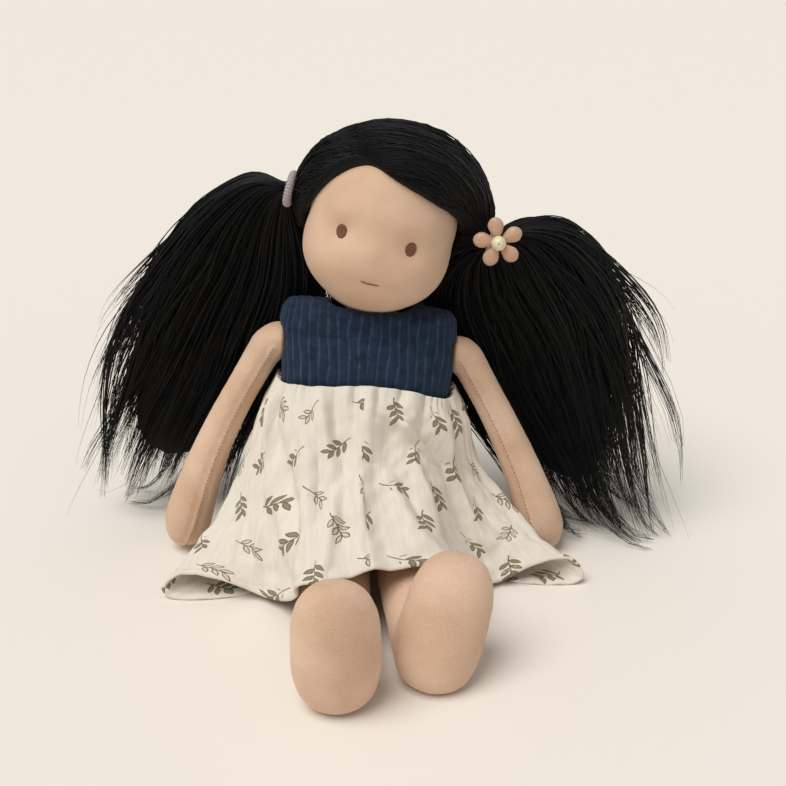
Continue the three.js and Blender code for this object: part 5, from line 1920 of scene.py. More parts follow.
    def build(self) -> None:
        """Makes the three pieces of cloth from one strip, so that they meet exactly."""
        strip, share = self.layers()
        rows, columns = strip.shape[:2]
        points = strip.reshape(-1, 3)
        faces = outward(points, strip_faces(rows, columns, looped=True))
        corner = np.array(faces)
        row, column = corner // columns, corner % columns
        face_row = np.sort(row, axis=1)
        wrap = (face_row[:, 0] == 0) & (face_row[:, -1] == rows - 1)
        seam = (column.max(axis=1) == columns - 1) & (column.min(axis=1) == 0)
        face_column = np.where(seam, columns - 1, column.min(axis=1))
        face_share = np.where(wrap, 0.0, share[row].mean(axis=1))
        part = self.part_of(face_column, face_share)
        u = column.astype(float)
        u[seam[:, None] & (column == 0)] = columns
        flat = np.stack([u / columns * self.girth * MM, share[row] * self.length * MM], axis=-1)
        vertex_normals = self.normals_of(points, corner)
        pieces = [self.piece(kind, points, corner[part == k], flat[part == k], vertex_normals)
                  for k, kind in enumerate(SkirtPart)]
        self.set_bending(pieces)
        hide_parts("skirt")
        self.hem_stitches(strip)

    @staticmethod
    def normals_of(points: Array, corner: Array) -> Array:
        """The normals of the whole strip, so that its pieces shade as one cloth.

        Args:
            points: The strip's points.
            corner: Its faces as indices of them.

        Returns:
            Each point's normal.
        """
        first, second, third, fourth = (points[corner[:, k]] for k in range(4))
        face_normal = np.cross(third - first, fourth - second)
        total = np.zeros_like(points)
        for k in range(4):
            np.add.at(total, corner[:, k], face_normal)
        return unit(total)

    def piece(self, kind: SkirtPart, points: Array, corner: Array, flat: Array, normals: Array,
              ) -> bpy.types.Object:
        """One piece of the cloth with its cloth coordinates.

        Args:
            kind: Which piece it is.
            points: The whole strip's points.
            corner: The piece's faces as indices of them.
            flat: The faces' cloth coordinates in metres.
            normals: The whole strip's point normals.

        Returns:
            The object.
        """
        used = np.unique(corner)
        new = -np.ones(len(points), int)
        new[used] = np.arange(len(used))
        faces = [tuple(f) for f in new[corner].tolist()]
        made = make_object(kind.value, points[used], faces, WARDROBE.of(PrintedGauze()))
        layer = made.data.uv_layers.new(name="cloth")
        layer.data.foreach_set("uv", flat.reshape(-1, 2).astype(np.float32).ravel())
        made.data.normals_split_custom_set_from_vertices(normals[used].tolist())
        return made

    def set_bending(self, pieces: list[bpy.types.Object]) -> None:
        """Lets the main cloth bend with the waist and the laps lift with the legs.

        Args:
            pieces: The main cloth, the left lap and the right lap.
        """
        main, left, right = pieces
        low, high = BODY.world(vec(0, 0, 8)), BODY.world(vec(0, 0, self.waist - 2))
        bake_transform(main, "hips", "torso", start=tuple(low * MM), end=tuple(high * MM))
        for made, leg, side in ((left, "leg_left", 1), (right, "leg_right", -1)):
            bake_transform(made, "hips", leg, start=(0, -0.03, 0.03), end=(0, -0.06, 0.03))
            points = points_of(made)
            weight = np.empty(len(points), np.float32)
            layer = made.data.attributes["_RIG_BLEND"]
            layer.data.foreach_get("value", weight)
            x = side * (points[:, 0] - 1.5)
            weight *= eased(0.0, 9.0, x) * eased(58.0, 40.0, x)
            layer.data.foreach_set("value", weight.astype(np.float32))

    def hem_stitches(self, strip: Array) -> None:
        """The row of small stitches that holds the rolled hem, as far as it doesn't lie on a lap.

        Args:
            strip: The cloth's two faces.
        """
        row = self.rows - 1 - max(1, round((self.hem_width + 0.4) / self.length * (self.rows - 1)))
        path = strip[row]
        normals = outward_normals(strip[row - 1:row + 2])[1]
        line = np.concatenate([path, path[:1]]) + np.concatenate([normals, normals[:1]]) * 0.05
        line[:, 2] = np.maximum(line[:, 2], 0.3)
        share = (np.arange(len(line)) + 0.5) / self.columns
        free = (share > self.lap_share) & (share < 1 - self.lap_share)
        stitches = StitchRow(pitch=3.0, length=1.9, thickness=0.35, finish=Finish.COTTON).sew(
            "skirt_hem_stitches", [line[free]])
        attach(stitches, "hips")


# Hair

def arc_between(start: Array, end: Array, share: Array) -> Array:
    """Directions on the shortest turn between two others.

    Args:
        start: The direction at a share of 0.
        end: The direction at a share of 1.
        share: The shares.

    Returns:
        One row for each share.
    """
    a, b = unit(start), unit(end)
    angle = math.acos(float(np.clip(a @ b, -1, 1)))
    if angle < 1e-4:
        return np.repeat(a[None], len(share), 0)
    s = share[:, None]
    return (np.sin((1 - s) * angle) * a + np.sin(s * angle) * b) / math.sin(angle)


@dataclass
class HairCap:
    """The hair on the head: a padded base under combed strands that run from the parting to the ties."""

    head: Head
    ties: tuple[Array, Array]
    strands: int = 4200
    steps: int = 15
    peak_turn: float = -112.0
    peak_rise: float = 6.6
    crown_drop: float = 1.7
    parting_x: tuple[float, ...] = (-0.31, -0.42, -0.46, -0.38, -0.2, -0.06, 0)
    parting_turn: tuple[float, float] = (42.0, 206.0)
    hairline: tuple[float, ...] = (0.303, 0.33, 0.365, 0.4, 0.46, 0.54, 0.62, 0.67, 0.69, 0.67, 0.63, 0.6,
                                   0.575, 0.455, 0.31, 0.268, 0.298)
    parted: float = 0.62      # this share of the strands starts at the parting
    flyaway: float = 0.05     # and this share stands off the head
    seed: int = 11

    def parting(self, share: float) -> Array:
        """The direction of the parting from the head's middle.

        Args:
            share: 0 at the forehead and 1 at the nape.

        Returns:
            The direction in the head's own axes.
        """
        turn = math.radians(mix(*self.parting_turn, share))
        x = float(smooth_at(self.parting_x, share))
        rest = math.sqrt(1 - x * x)
        return vec(x, -rest * math.cos(turn), rest * math.sin(turn))

    def edge(self, share: float) -> Array:
        """The direction of the hairline from the head's middle.

        Args:
            share: The place round the head, from the forehead over the left.

        Returns:
            The direction in the head's own axes.
        """
        tilt = math.pi * float(smooth_at(self.hairline, share))
        azimuth = TURN * share - math.pi / 2
        return vec(math.sin(tilt) * math.cos(azimuth), math.sin(tilt) * math.sin(azimuth),
                   math.cos(tilt) * self.head.height / self.head.width)

    def above_edge(self, ways: Array) -> Array:
        """Directions moved up to the hairline where they are over the face.

        Args:
            ways: The directions in the head's own axes.

        Returns:
            The moved directions.
        """
        tilt, azimuth = np.arccos(np.clip(ways[:, 2], -1, 1)), np.arctan2(ways[:, 1], ways[:, 0])
        edge = math.pi * smooth_at(self.hairline, ((azimuth + math.pi / 2) / TURN) % 1)
        limit = np.arctan2(np.sin(edge), np.cos(edge) * self.head.height / self.head.width) - 0.02
        tilt = np.where(azimuth < 0, np.minimum(tilt, limit), tilt)
        return np.stack([np.sin(tilt) * np.cos(azimuth), np.sin(tilt) * np.sin(azimuth), np.cos(tilt)],
                        axis=1)

    def starts(self, random: np.random.Generator) -> list[tuple[Array, int]]:
        """Where the strands start: at the parting or at the hairline.

        Args:
            random: The source of the draws.

        Returns:
            Each strand's direction, with the tie that it runs to: 0 left and 1 right.
        """
        found = []
        for k in range(self.strands):
            if random.random() < self.parted:
                share = random.random() ** 1.15
                found.append((self.parting(share) + random.normal(0, 0.008, 3), k % 2))
            else:
                share = random.uniform(0.17, 0.87)
                way = self.edge(share)
                found.append((unit(way) + random.normal(0, 0.01, 3), 0 if share < 0.5 else 1))
        return found

    def build(self) -> None:
        """Makes the base and its strands."""
        base = node_copy("hair_cap", "hair_cap_base")
        refined(base, 2)
        self.shape(base)
        material = WARDROBE.of(Mohair())
        base.data.materials.append(material)
        surface = tree_of(base)
        centre = HEAD.world(vec(0, 0, self.head.drop))
        random = np.random.default_rng(self.seed)
        share = np.linspace(0, 1, self.steps)
        lines, thick = [], []
        for start, side in self.starts(random):
            tie_local = HEAD.local(self.ties[side]) - vec(0, 0, self.head.drop)
            spot = random.normal(0, 1.6, 2)
            end_local = tie_local + vec(0, spot[0], spot[1])
            wander, second = random.normal(0, 0.07), random.normal(0, 0.03)
            ways = arc_between(start, end_local, share)
            across = np.cross(unit(start), unit(end_local))
            sway = wander * np.sin(math.pi * share) + second * np.sin(TURN * share)
            lift = 0.1 + abs(random.normal(0, 0.45)) + 0.5 * np.sin(math.pi * share) * random.random()
            if random.random() < self.flyaway:
                lift = lift + np.sin(math.pi * share * random.uniform(0.6, 1)) ** 2 * random.uniform(0.8, 2.4)
            ways = self.above_edge(unit(ways + across[None] * sway[:, None]))
            line = self.lay(surface, centre, HEAD.way(ways), lift)
            fuzz = random.normal(0, 0.26, line.shape) * np.sin(math.pi * share)[:, None]
            finish = HEAD.world(end_local + vec(0, 0, self.head.drop))
            pull = eased(0.86, 1.0, share)[:, None]
            lines.append((line + fuzz) * (1 - pull) + finish * pull)
            thick.append(0.3 + 0.7 * eased(0, 0.2, share))
        tone = random.random(len(lines))
        pieces = [base]
        for number, part in enumerate(np.array_split(np.arange(len(lines)), 2)):
            pieces.append(StrandMaker(radius=0.34).comb(
                f"hair_cap_strands_{number + 1}", np.array(lines)[part], np.array(thick)[part], tone[part],
                material))
        add_attribute(base, "tone", np.full(len(base.data.vertices), 0.1))
        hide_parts("hair_cap")
        for piece in pieces:
            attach(piece, "head")

    def shape(self, base: bpy.types.Object) -> None:
        """Draws the hairline up to its peak over the forehead and lays the crown flat.

        Args:
            base: The cap's base, which is changed.
        """
        local = HEAD.local(points_of(base)) - vec(0, 0, self.head.drop)
        length = np.linalg.norm(local, axis=1)
        tilt = np.arccos(np.clip(local[:, 2] / length, -1, 1))
        azimuth = np.arctan2(local[:, 1], local[:, 0])
        away = (np.degrees(azimuth) - self.peak_turn + 180) % 360 - 180
        near = np.exp(-(away / 20) ** 2) * bump(tilt / math.pi, 0.32, 0.11)
        tilt = tilt - math.radians(self.peak_rise) * near
        length = length - self.crown_drop * eased(0.42, 0.12, tilt / math.pi)
        moved = np.stack([np.sin(tilt) * np.cos(azimuth), np.sin(tilt) * np.sin(azimuth), np.cos(tilt)],
                         axis=1)
        move_points(base, HEAD.world(moved * length[:, None] + vec(0, 0, self.head.drop)))

    @staticmethod
    def lay(surface: BVHTree, centre: Array, ways: Array, lift: Any) -> Array:
        """Lays points on the base where rays from outside towards the head's middle meet it.

        Args:
            surface: The base's search tree.
            centre: The head's middle.
            ways: The points' directions from it.
            lift: How far above the base each point lies.

        Returns:
            The points.
        """
        heights = []
        for way in ways:
            place = surface.ray_cast(Vector(centre + way * 90), Vector(-way))[0]
            heights.append(np.linalg.norm(np.array(place) - centre) if place is not None else np.nan)
        heights = np.array(heights)
        if np.isnan(heights).any():
            known = ~np.isnan(heights)
            heights = (np.interp(np.arange(len(heights)), np.flatnonzero(known), heights[known])
                       if known.any() else np.full(len(heights), 45.0))
        smooth = np.convolve(np.pad(heights, 1, mode="edge"), (0.25, 0.5, 0.25), mode="valid")
        return centre + ways * (np.maximum(smooth, heights) + lift)[:, None]


@dataclass(frozen=True)
class Obstacle:
    """A finished piece that the hair keeps clear of, by so much room and along a push where one is given."""

    tree: BVHTree
    room: float
    push: tuple[float, float, float] | None = None
    reach: float = 26.0
    far: float = 160.0

    def freed(self, place: Array, side: int) -> Array:
        """A point moved out of the piece.

        Args:
            place: The point.
            side: 1 for the left bunch and -1 for the right one.

        Returns:
            The point itself where it is clear; otherwise the nearest clear point, or the one along the push.
        """
        if self.push is None:
            nearest, normal, _, away = self.tree.find_nearest(Vector(place), self.reach)
            if nearest is None:
                return place
            inside = (Vector(place) - nearest).dot(normal) < 0
            return np.array(nearest + normal * self.room) if inside or away < self.room else place
        way = unit(vec(side * self.push[0], self.push[1], self.push[2]))
        hit = self.tree.ray_cast(Vector(place + way * self.far), Vector(-way), self.far + self.room)[0]
        return place if hit is None else np.array(hit) + way * self.room


@dataclass
class HairBunch:
    """One bunch of hair: clumped locks that arch out of the tie and fall to the floor in ragged tips."""

    word: str
    side: int
    tie: Array
    outer: tuple[tuple[float, float, float], ...]
    inner: tuple[tuple[float, float, float], ...]
    spreads: tuple[float, ...]
    wisps: float
    ragged: float
    trailing: float
    seed: int
    locks: int = 165
    each: int = 15
    steps: int = 24
    strays: int = 225
    free_width: float = 146.0
    widest: float = 164.0

    def guide(self, across: Array, deep: Array, share: Array) -> Array:
        """Points of the bunch at places across it and through its depth.

        Args:
            across: 0 along the bunch's outer edge and 1 along its inner edge.
            deep: -1 in front and 1 behind.
            share: 0 at the tie and 1 at the floor.

        Returns:
            The points in the frame's axes.
        """
        outer, inner = smooth_at(self.outer, share), smooth_at(self.inner, share)
        spread = smooth_at(self.spreads, share)
        points = outer + (inner - outer) * across[..., None]
        points[..., 1] += deep * spread
        return points

    def comb(self, random: np.random.Generator) -> tuple[Array, Array, Array]:
        """Draws each lock's way and lays its strands along it, then the strays.

        Args:
            random: The source of the draws.

        Returns:
            The strands' points, thicknesses and tones.
        """
        lines, thick, tones = [], [], []
        share = np.linspace(0, 1, self.steps) ** 1.2
        for lock in range(self.locks + self.strays):
            stray = lock >= self.locks
            across, deep = random.random() ** 0.95, random.uniform(-1, 1)
            deep *= math.sqrt(1 - (2 * abs(across - 0.5)) ** 2.4 * 0.6)
            leave = -random.random() ** 0.8 * self.wisps if random.random() < (0.4 if stray else 0.2) else 0.0
            across = across * 0.4 if leave else across
            reach = random.uniform(0.86, 1.0) if random.random() < 0.62 else random.uniform(0.62, 0.9)
            if across < 0.4 and random.random() > 0.3:
                reach *= mix(self.ragged, 1.0, across / 0.4)
            waves, phase = random.uniform(0.8, 2.2), random.uniform(0, TURN)
            swing = random.normal(0, 1, 3) * (2.1 if not stray else 3.0)
            flick = random.normal(0, 1, 3) * vec(5.0, 3.0, 1.5) + vec(self.side * 2.0, 0, 0)
            tight = random.uniform(0.05, 0.35)
            trail = random.uniform(8, 30) * (random.random() < self.trailing) * (not leave)
            tone = random.random()
            for _ in range(1 if stray else self.each):
                own = random.normal(0, 1, 2) * (0.055, 0.22)
                own_reach = reach * random.uniform(0.9, 1.0)
                place = share * own_reach
                close = mix(1.0, tight, eased(0.3, 0.95, share))
                left = leave * eased(0.5, 1.0, share)
                line = self.guide(np.clip(across + own[0] * close, -0.03, 1.05) + left,
                                  np.clip(deep + own[1] * close, -1.15, 1.15), place)
                grow = eased(0.06, 0.8, share)[:, None]
                line = line + np.sin(place * waves * TURN + phase)[:, None] * swing * grow
                line = line + flick * (eased(0.5, 1.0, share) ** 1.6)[:, None]
                kink = [random.normal(0, 1, 3) * size
                        * np.sin(place * pace + random.uniform(0, TURN))[:, None]
                        for size, pace in ((1.0, 8), (0.6, 19), (0.3, 38))]
                line = line + sum(kink) * grow
                if trail:
                    line = self.trailed(line, share, trail, phase)
                self.root(line, across + own[0], deep + own[1])
                lines.append(line)
                thick.append((0.7 + 0.3 * random.random()) * (1 - 0.84 * eased(0.6, 1.0, share) ** 1.2)
                             * (0.7 if stray else 1.0))
                tones.append(np.clip(tone + random.normal(0, 0.15), 0, 1))
        return np.array(lines), np.array(thick), np.array(tones)

    def trailed(self, line: Array, share: Array, trail: float, phase: float) -> Array:
        """A strand whose tip slides out over the floor in a curl.

        Args:
            line: The strand's points.
            share: 0 at the tie and 1 at the tip.
            trail: How far the tip slides.
            phase: The lock's own phase.

        Returns:
            The moved points.
        """
        slide = eased(0.78, 1.0, share) ** 1.2
        line = line + np.stack([self.side * trail * slide, -0.5 * trail * np.sin(slide * 2.6), -40 * slide],
                               axis=1)
        line[:, 2] = np.maximum(line[:, 2], 0.7 + 1.8 * np.sin(slide * 3 + phase) ** 2)
        return line

    def root(self, line: Array, across: float, deep: float) -> None:
        """Sets a strand's first two points inside its tie and just out of it.

        Args:
            line: The strand's points, which are changed.
            across: 0 along the bunch's outer edge and 1 along its inner edge.
            deep: -1 in front and 1 behind.
        """
        place = HEAD.local(self.tie) + vec(0, mix(-2.6, 2.6, float(np.clip((deep + 1) / 2, 0, 1))),
                                           mix(2.8, -2.8, float(np.clip(across, 0, 1))))
        line[0] = HEAD.world(place + vec(-self.side * 1.5, 0, 0))
        line[1] = mix(HEAD.world(place + vec(self.side * 3.6, 0, 0)), line[1], 0.25)

    def clear(self, lines: Array, obstacles: Sequence[Obstacle]) -> Array:
        """Moves strands out of the pieces that they lie against, and off the floor, and evens them again.

        Args:
            lines: The strands' points, as strand, point and axis. The two points at the tie stay.
            obstacles: The pieces.

        Returns:
            The moved points.
        """
        moved = lines.copy()
        for again in range(2):
            for line in moved:
                for k in range(2, len(line)):
                    for obstacle in obstacles:
                        line[k] = obstacle.freed(line[k], self.side)
            if not again:
                for _ in range(2):
                    moved[:, 2:-1] = (moved[:, 1:-2] + 2 * moved[:, 2:-1] + moved[:, 3:]) / 4
        moved[..., 2] = np.maximum(moved[..., 2], 0.5)
        wide, room = self.side * moved[..., 0], self.widest - self.free_width
        moved[..., 0] = self.side * np.where(wide > self.free_width, self.free_width + room * np.tanh(
            (wide - self.free_width) / room), wide)
        return moved

    def core(self, material: bpy.types.Material) -> bpy.types.Object:
        """The dark inside of the bunch, so that no light shows between its strands.

        Args:
            material: The hair's finish.

        Returns:
            The piece.
        """
        share = np.linspace(0.03, 0.84, 40)
        outer, inner = smooth_at(self.outer, share), smooth_at(self.inner, share)
        angle = (TURN * np.arange(48) / 48)[None, :, None]
        place = np.linspace(0, 1, 40)[:, None, None]
        size = 0.84 * np.sqrt(1 - place ** 5) * (1 + 0.05 * np.sin(7 * angle + 9 * place))
        across = (inner - outer)[:, None] / 2 * np.cos(angle) * size
        deep = smooth_at(self.spreads, share)[:, None, None] * vec(0, 0.62, 0) * np.sin(angle) * size
        points, faces = body_through((outer + inner)[:, None] / 2 + across + deep)
        made = make_object(f"pigtail_{self.word}_core", points, faces, material)
        add_attribute(made, "tone", np.zeros(len(points)))
        return made

    def build(self, obstacles: Sequence[Obstacle]) -> None:
        """Makes the bunch's strands and its dark core.

        Args:
            obstacles: The pieces that the bunch lies against.
        """
        random = np.random.default_rng(self.seed)
        lines, thick, tones = self.comb(random)
        lines = self.clear(lines, obstacles)
        material = WARDROBE.of(Mohair())
        node = f"pigtail_{self.word}"
        pieces = []
        for number, part in enumerate(np.array_split(np.arange(len(lines)), 2)):
            pieces.append(StrandMaker(radius=0.44).comb(
                f"{node}_strands_{number + 1}", lines[part], thick[part], tones[part], material))
        core = self.core(material)
        points = points_of(core)
        for obstacle in obstacles:
            points = np.array([obstacle.freed(point, self.side) for point in points])
        points[:, 2] = np.maximum(points[:, 2], 1.5)
        move_points(core, points)
        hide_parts(node)
        for piece in (*pieces, core):
            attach(piece, node)


@dataclass
class HairTie:
    """A ribbed elastic round the root of a bunch."""

    word: str
    centre: Array
    ring_radius: float = 6.7
    cord_radius: float = 2.1
    ribs: int = 30

    def build(self) -> None:
        """Makes the elastic with its ribs."""
        around, section = 240, 24
        a = TURN * np.arange(around) / around
        b = TURN * np.arange(section) / section
        rib = 0.22 * np.cos(a * self.ribs)[:, None] * np.ones((1, section))
        cord = self.cord_radius - 0.3 + rib + 0.06 * np.cos(8 * b)[None, :]
        radius = self.ring_radius + cord * np.cos(b)[None, :]
        points = np.stack([cord * np.sin(b)[None, :], radius * np.cos(a)[:, None],
                           radius * np.sin(a)[:, None]], -1)
        flat = points.reshape(-1, 3)
        faces = outward(flat, strip_faces(around, section, looped=True))
        made = make_object(f"hair_elastic_{self.word}", HEAD.world(HEAD.local(self.centre) + flat), faces,
                           WARDROBE.of(Finish.ELASTIC))
        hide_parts(f"hair_tie_{self.word}")
        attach(made, "head")


# Flower, buttons, threads

@dataclass
class Flower:
    """Five puffed satin petals round a wooden bead, tied to the left elastic."""

    petal_length: float = 9.6
    petal_width: float = 7.6
    petal_thickness: float = 5.0
    ring_radius: float = 6.8
    bead: float = 6.8
    count: int = 5

    def petal(self, number: int, place: Place) -> bpy.types.Object:
        """One petal: a puffed drop with a soft pinch at its root.

        Args:
            number: The petal's number, from 0.
            place: The flower's middle.

        Returns:
            The piece.
        """
        rows, columns = 40, 40
        t = np.linspace(0.02, math.pi - 0.02, rows)[:, None]
        a = (TURN * np.arange(columns) / columns)[None, :]
        along = -np.cos(t) * np.ones_like(a)
        wide = np.sin(t) * np.cos(a) * (1 - 0.34 * eased(0.5, -1, along))
        deep = np.sin(t) * np.sin(a)
        pucker = 1 - 0.1 * np.exp(-((along + 0.75) / 0.3) ** 2) * np.cos(7 * a)
        x = self.ring_radius + along * self.petal_length / 2
        z = wide * self.petal_width / 2 * pucker
        y = deep * self.petal_thickness / 2 * pucker + 0.25 * np.sin(along * 2 + number)
        points, faces = body_through(np.stack([x + 0 * a, y, z], axis=-1))
        points = points @ turned("Y", math.degrees(TURN * number / self.count) + 101).T
        made = make_object(f"petal_{number + 1}_satin", place.world(points), faces, WARDROBE.of(Finish.PETAL))
        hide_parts(f"flower_petal_{number + 1}")
        return made

    def turned_bead(self, place: Place) -> bpy.types.Object:
        """The bead, with the hole that its thread goes through.

        Args:
            place: The bead's middle.

        Returns:
            The piece.
        """
        angle = np.linspace(0.16, math.pi - 0.16, 30)
        radius = self.bead / 2
        hole = 0.32
        profile = [(radius * math.sin(t), -radius * math.cos(t)) for t in angle]
        profile[0], profile[-1] = (hole + 0.2, -radius * 0.965), (hole + 0.2, radius * 0.965)
        inside = [(hole, h) for h in np.linspace(radius * 0.93, -radius * 0.93, 10)]
        loops = np.array([ring(vec(0, h, 0), DEEP, ACROSS, r, r, 48) for r, h in profile + inside])
        points = loops.reshape(-1, 3)
        faces = outward(points, strip_faces(len(loops), 48, looped=True))
        made = make_object("bead_turned", place.world(points), faces, WARDROBE.of(Finish.BEAD))
        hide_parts("flower_bead")
        return made

    def build(self) -> None:
        """Makes the flower where its bead and petals are in the frame."""
        middle = np.mean([centre_of(f"flower_petal_{k + 1}") for k in range(self.count)], axis=0)
        pieces = [self.petal(k, Place(middle, HEAD.axes)) for k in range(self.count)]
        for made in (*pieces, self.turned_bead(Place(centre_of("flower_bead"), HEAD.axes))):
            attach(made, "head")
        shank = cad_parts["flower_shank"].data
        shank.materials.clear()
        shank.materials.append(WARDROBE.of(Finish.THREAD))


@dataclass
class Buttons:
    """Two small resin buttons with a rim and four holes that close the bodice behind."""

    diameter: float = 8.0
    thickness: float = 2.0

    def build(self) -> None:
        """Makes each button where its node is in the frame."""
        for word in ("upper", "lower"):
            node = f"button_{word}"
            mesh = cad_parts[node].data
            corners = np.array([v.co for v in mesh.vertices], float) / MM
            middle = corners.mean(0)
            axes = np.linalg.svd(corners - middle, full_matrices=False)[2]
            facing = axes[2] if axes[2][1] > 0 else -axes[2]
            foot = ((corners - middle) @ facing).min()
            side = unit(np.cross(UP, facing))
            place = Place(middle + facing * foot, np.stack([side, np.cross(facing, side), facing], axis=1))
            made = self.disc(place, node)
            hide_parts(node)
            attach(made, "torso")

    def disc(self, place: Place, node: str) -> bpy.types.Object:
        """One button: a turned disc with a raised rim and four dimpled holes.

        Args:
            place: The middle of its foot.
            node: The node that it stands for.

        Returns:
            The piece.
        """
        shares = [(0.02, 0.62), (0.2, 0.62), (0.42, 0.62), (0.6, 0.63), (0.7, 0.72), (0.78, 0.92),
                  (0.86, 1.0), (0.95, 0.95), (1.0, 0.75), (1.0, 0.45), (0.93, 0.12), (0.8, 0.02),
                  (0.4, 0.0), (0.02, 0.0)]
        profile = smooth_at(shares, np.linspace(0, 1, 70))
        loops = np.array([ring(vec(0, 0, h * self.thickness), UP, ACROSS,
                               r * self.diameter / 2, r * self.diameter / 2, 72) for r, h in profile])
        for turn in range(4):
            angle = math.pi / 4 + turn * math.pi / 2
            away = np.hypot(loops[..., 0] - 1.25 * math.cos(angle), loops[..., 1] - 1.25 * math.sin(angle))
            loops[..., 2] -= np.where(loops[..., 2] > 0.5 * self.thickness, 0.9 * eased(0.75, 0.45, away), 0)
        points, faces = body_through(loops)
        return make_object(f"{node}_resin", place.world(points), faces, WARDROBE.of(Finish.BUTTON))


def dress_threads() -> None:
    """Gives the sewing threads of the frame their twisted finish."""
    for node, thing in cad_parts.items():
        if "thread" in node:
            thing.data.materials.clear()
            thing.data.materials.append(WARDROBE.of(Finish.THREAD))
            shade_smooth(thing)


# Studio

@dataclass(frozen=True)
class Studio:
    """The camera at the photograph's angle, a pale seamless floor and soft light from above."""

    camera_at: tuple[float, float, float] = (11.0, -501.4, 322.5)
    camera_tilt: float = 64.5
    lens: float = 52.63
    floor_colour: str = "#EFE8DE"
    world_strength: float = 0.42
    key_power: float = 2.12
    key_spread: float = 42.0
    key_from: tuple[float, float, float] = (-0.34, -0.26, 0.87)
    floor_half: float = 4000.0

    def camera(self) -> None:
        """Sets the camera."""
        data = bpy.data.cameras.new("camera")
        data.lens, data.sensor_width = self.lens, 36.0
        data.clip_start, data.clip_end = 0.01, 20
        made = bpy.data.objects.new("camera", data)
        made.location = Vector(self.camera_at) * MM
        made.rotation_euler = (math.radians(self.camera_tilt), 0, 0)
        bpy.context.collection.objects.link(made)
        bpy.context.scene.camera = made

    def floor(self) -> None:
        """Lays the floor."""
        count = 9
        line = np.linspace(-self.floor_half, self.floor_half, count)
        points = np.array([(x, y, 0.0) for y in line for x in line])
        faces = strip_faces(count, count, closed=False)
        material, tree = blank("floor_matt_paper")
        place = wire(tree, "ShaderNodeTexCoord").outputs["Object"]
        noise = wire(tree, "ShaderNodeTexNoise", {"Vector": place, "Scale": per_metre(1.2), "Detail": 2.0})
        close_up(tree, linear(self.floor_colour), noise, 0.02, 0.1,
                 {"Roughness": 0.95, "Specular IOR Level": 0.1})
        make_object("floor", points, faces, material)

    def build(self) -> None:
        """Sets the floor and the lights."""
        self.floor()
        world = bpy.data.worlds.new("studio")
        world.use_nodes = True
        world.node_tree.nodes.clear()
        sky = wire(world.node_tree, "ShaderNodeBackground", {"Color": linear("#FFFEFC"),
                                                             "Strength": self.world_strength})
        wire(world.node_tree, "ShaderNodeOutputWorld", {"Surface": sky})
        bpy.context.scene.world = world
        bpy.context.scene.view_settings.view_transform = "Standard"
        data = bpy.data.lights.new("window_softbox", "SUN")
        data.energy, data.angle = self.key_power, math.radians(self.key_spread)
        data.color = linear("#FFFEFC")[:3]
        made = bpy.data.objects.new("window_softbox", data)
        made.rotation_euler = (-Vector(self.key_from)).to_track_quat("-Z", "Y").to_euler()
        bpy.context.collection.objects.link(made)


# The whole doll

# The bunches' outer and inner edges from the tie to the floor
LEFT_OUTER = ((57, 14, 155), (71, 20, 161), (91, 24, 159), (109, 27, 145), (126, 29, 119), (134, 29, 90),
              (138, 26, 52), (142, 16, 18), (147, 4, 2))
LEFT_INNER = ((57, 14, 155), (45, 29, 145), (31, 38, 130), (25, 43, 108), (34, 43, 86), (45, 40, 62),
              (65, 31, 38), (75, 25, 12), (83, 16, 1))
RIGHT_OUTER = ((-37, 22, 178), (-55, 27, 183), (-79, 31, 167), (-98, 34, 145), (-118, 36, 117),
               (-130, 37, 88), (-140, 38, 56), (-147, 38, 30), (-152, 38, 8))
RIGHT_INNER = ((-37, 22, 178), (-35, 33, 166), (-28, 41, 147), (-23, 46, 122), (-30, 45, 96),
               (-43, 42, 68), (-64, 38, 40), (-77, 42, 14), (-86, 48, 1))


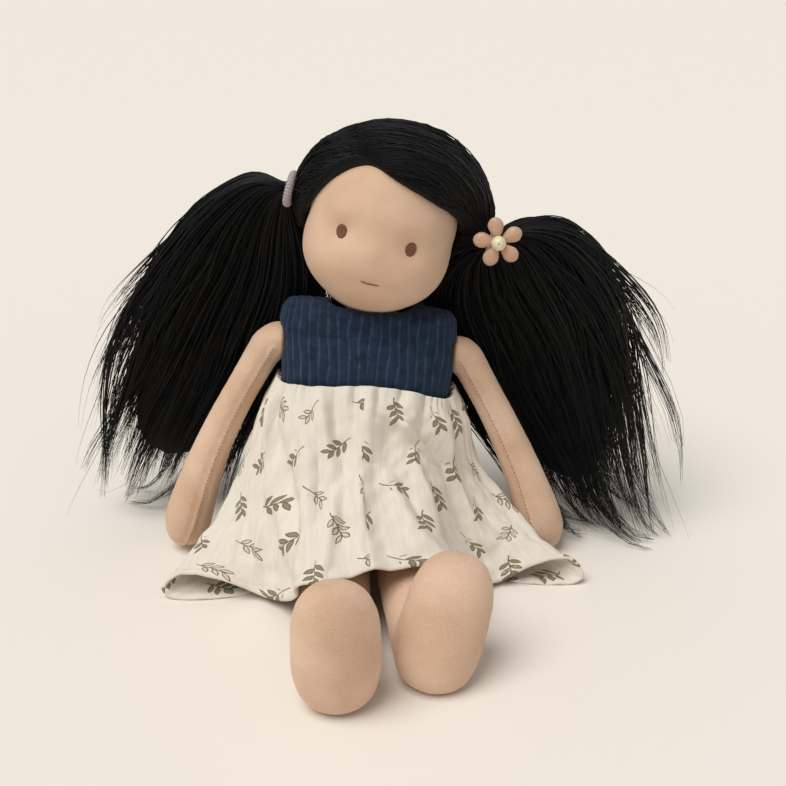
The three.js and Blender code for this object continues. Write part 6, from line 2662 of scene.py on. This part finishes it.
def build_hair(head: Head, obstacles: Sequence[Obstacle]) -> None:
    """Makes the ties, the hair on the head and the two bunches.

    Args:
        head: The head that the hair is knotted in.
        obstacles: The pieces that the bunches lie against.
    """
    left, right = centre_of("hair_tie_left"), centre_of("hair_tie_right")
    HairCap(head, (left, right)).build()
    HairTie("left", left).build()
    HairTie("right", right).build()
    LOG.info("hair cap and ties made")
    spreads = (3, 9, 14, 17, 18, 18, 18, 19, 21)
    HairBunch("left", 1, left, LEFT_OUTER, LEFT_INNER, spreads, 0.15, 0.66, 0.3, 5).build(obstacles)
    HairBunch("right", -1, right, RIGHT_OUTER, RIGHT_INNER, spreads, 0.12, 0.6, 0.06, 6).build(obstacles)
    LOG.info("bunches made")


def main() -> None:
    """Builds the doll over its frame, piece by piece."""
    logging.basicConfig(level=logging.INFO, format="%(name)s: %(message)s")
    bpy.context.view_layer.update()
    studio = Studio()
    studio.camera()
    bag = BodyBag()
    bag.build()
    LOG.info("body made")
    head = Head()
    head.build()
    LOG.info("head and face made")
    for arm in (Arm("left", 1, 28, 5, 4, 8, 0.35), Arm("right", -1, 19, 3, 5, 2, 0.35)):
        arm.build()
        LOG.info("arm_%s made", arm.word)
    for leg in (Leg("left", 1, 5, 22, 18, 9), Leg("right", -1, -3, 0, 0, 0)):
        leg.build()
        LOG.info("leg_%s made", leg.word)
    Bodice(bag).build()
    LOG.info("bodice made")
    Skirt(bag).build()
    LOG.info("skirt made")
    behind, beside = (0.1, 1.0, 0.12), (0.8, 0.7, 0.3)
    obstacles = [Obstacle(tree_of(bpy.data.objects[name]), room, push) for name, room, push in (
        ("torso_bag", 5.5, None), ("head_bag", 1.5, None), ("skirt_gauze", 1.0, beside),
        ("arm_left_stuffed", 1.0, behind), ("arm_right_stuffed", 1.0, behind))]
    build_hair(head, obstacles)
    Flower().build()
    Buttons().build()
    dress_threads()
    LOG.info("flower, buttons and threads made")
    studio.build()
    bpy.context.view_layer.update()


if __name__ == "__main__":
    main()
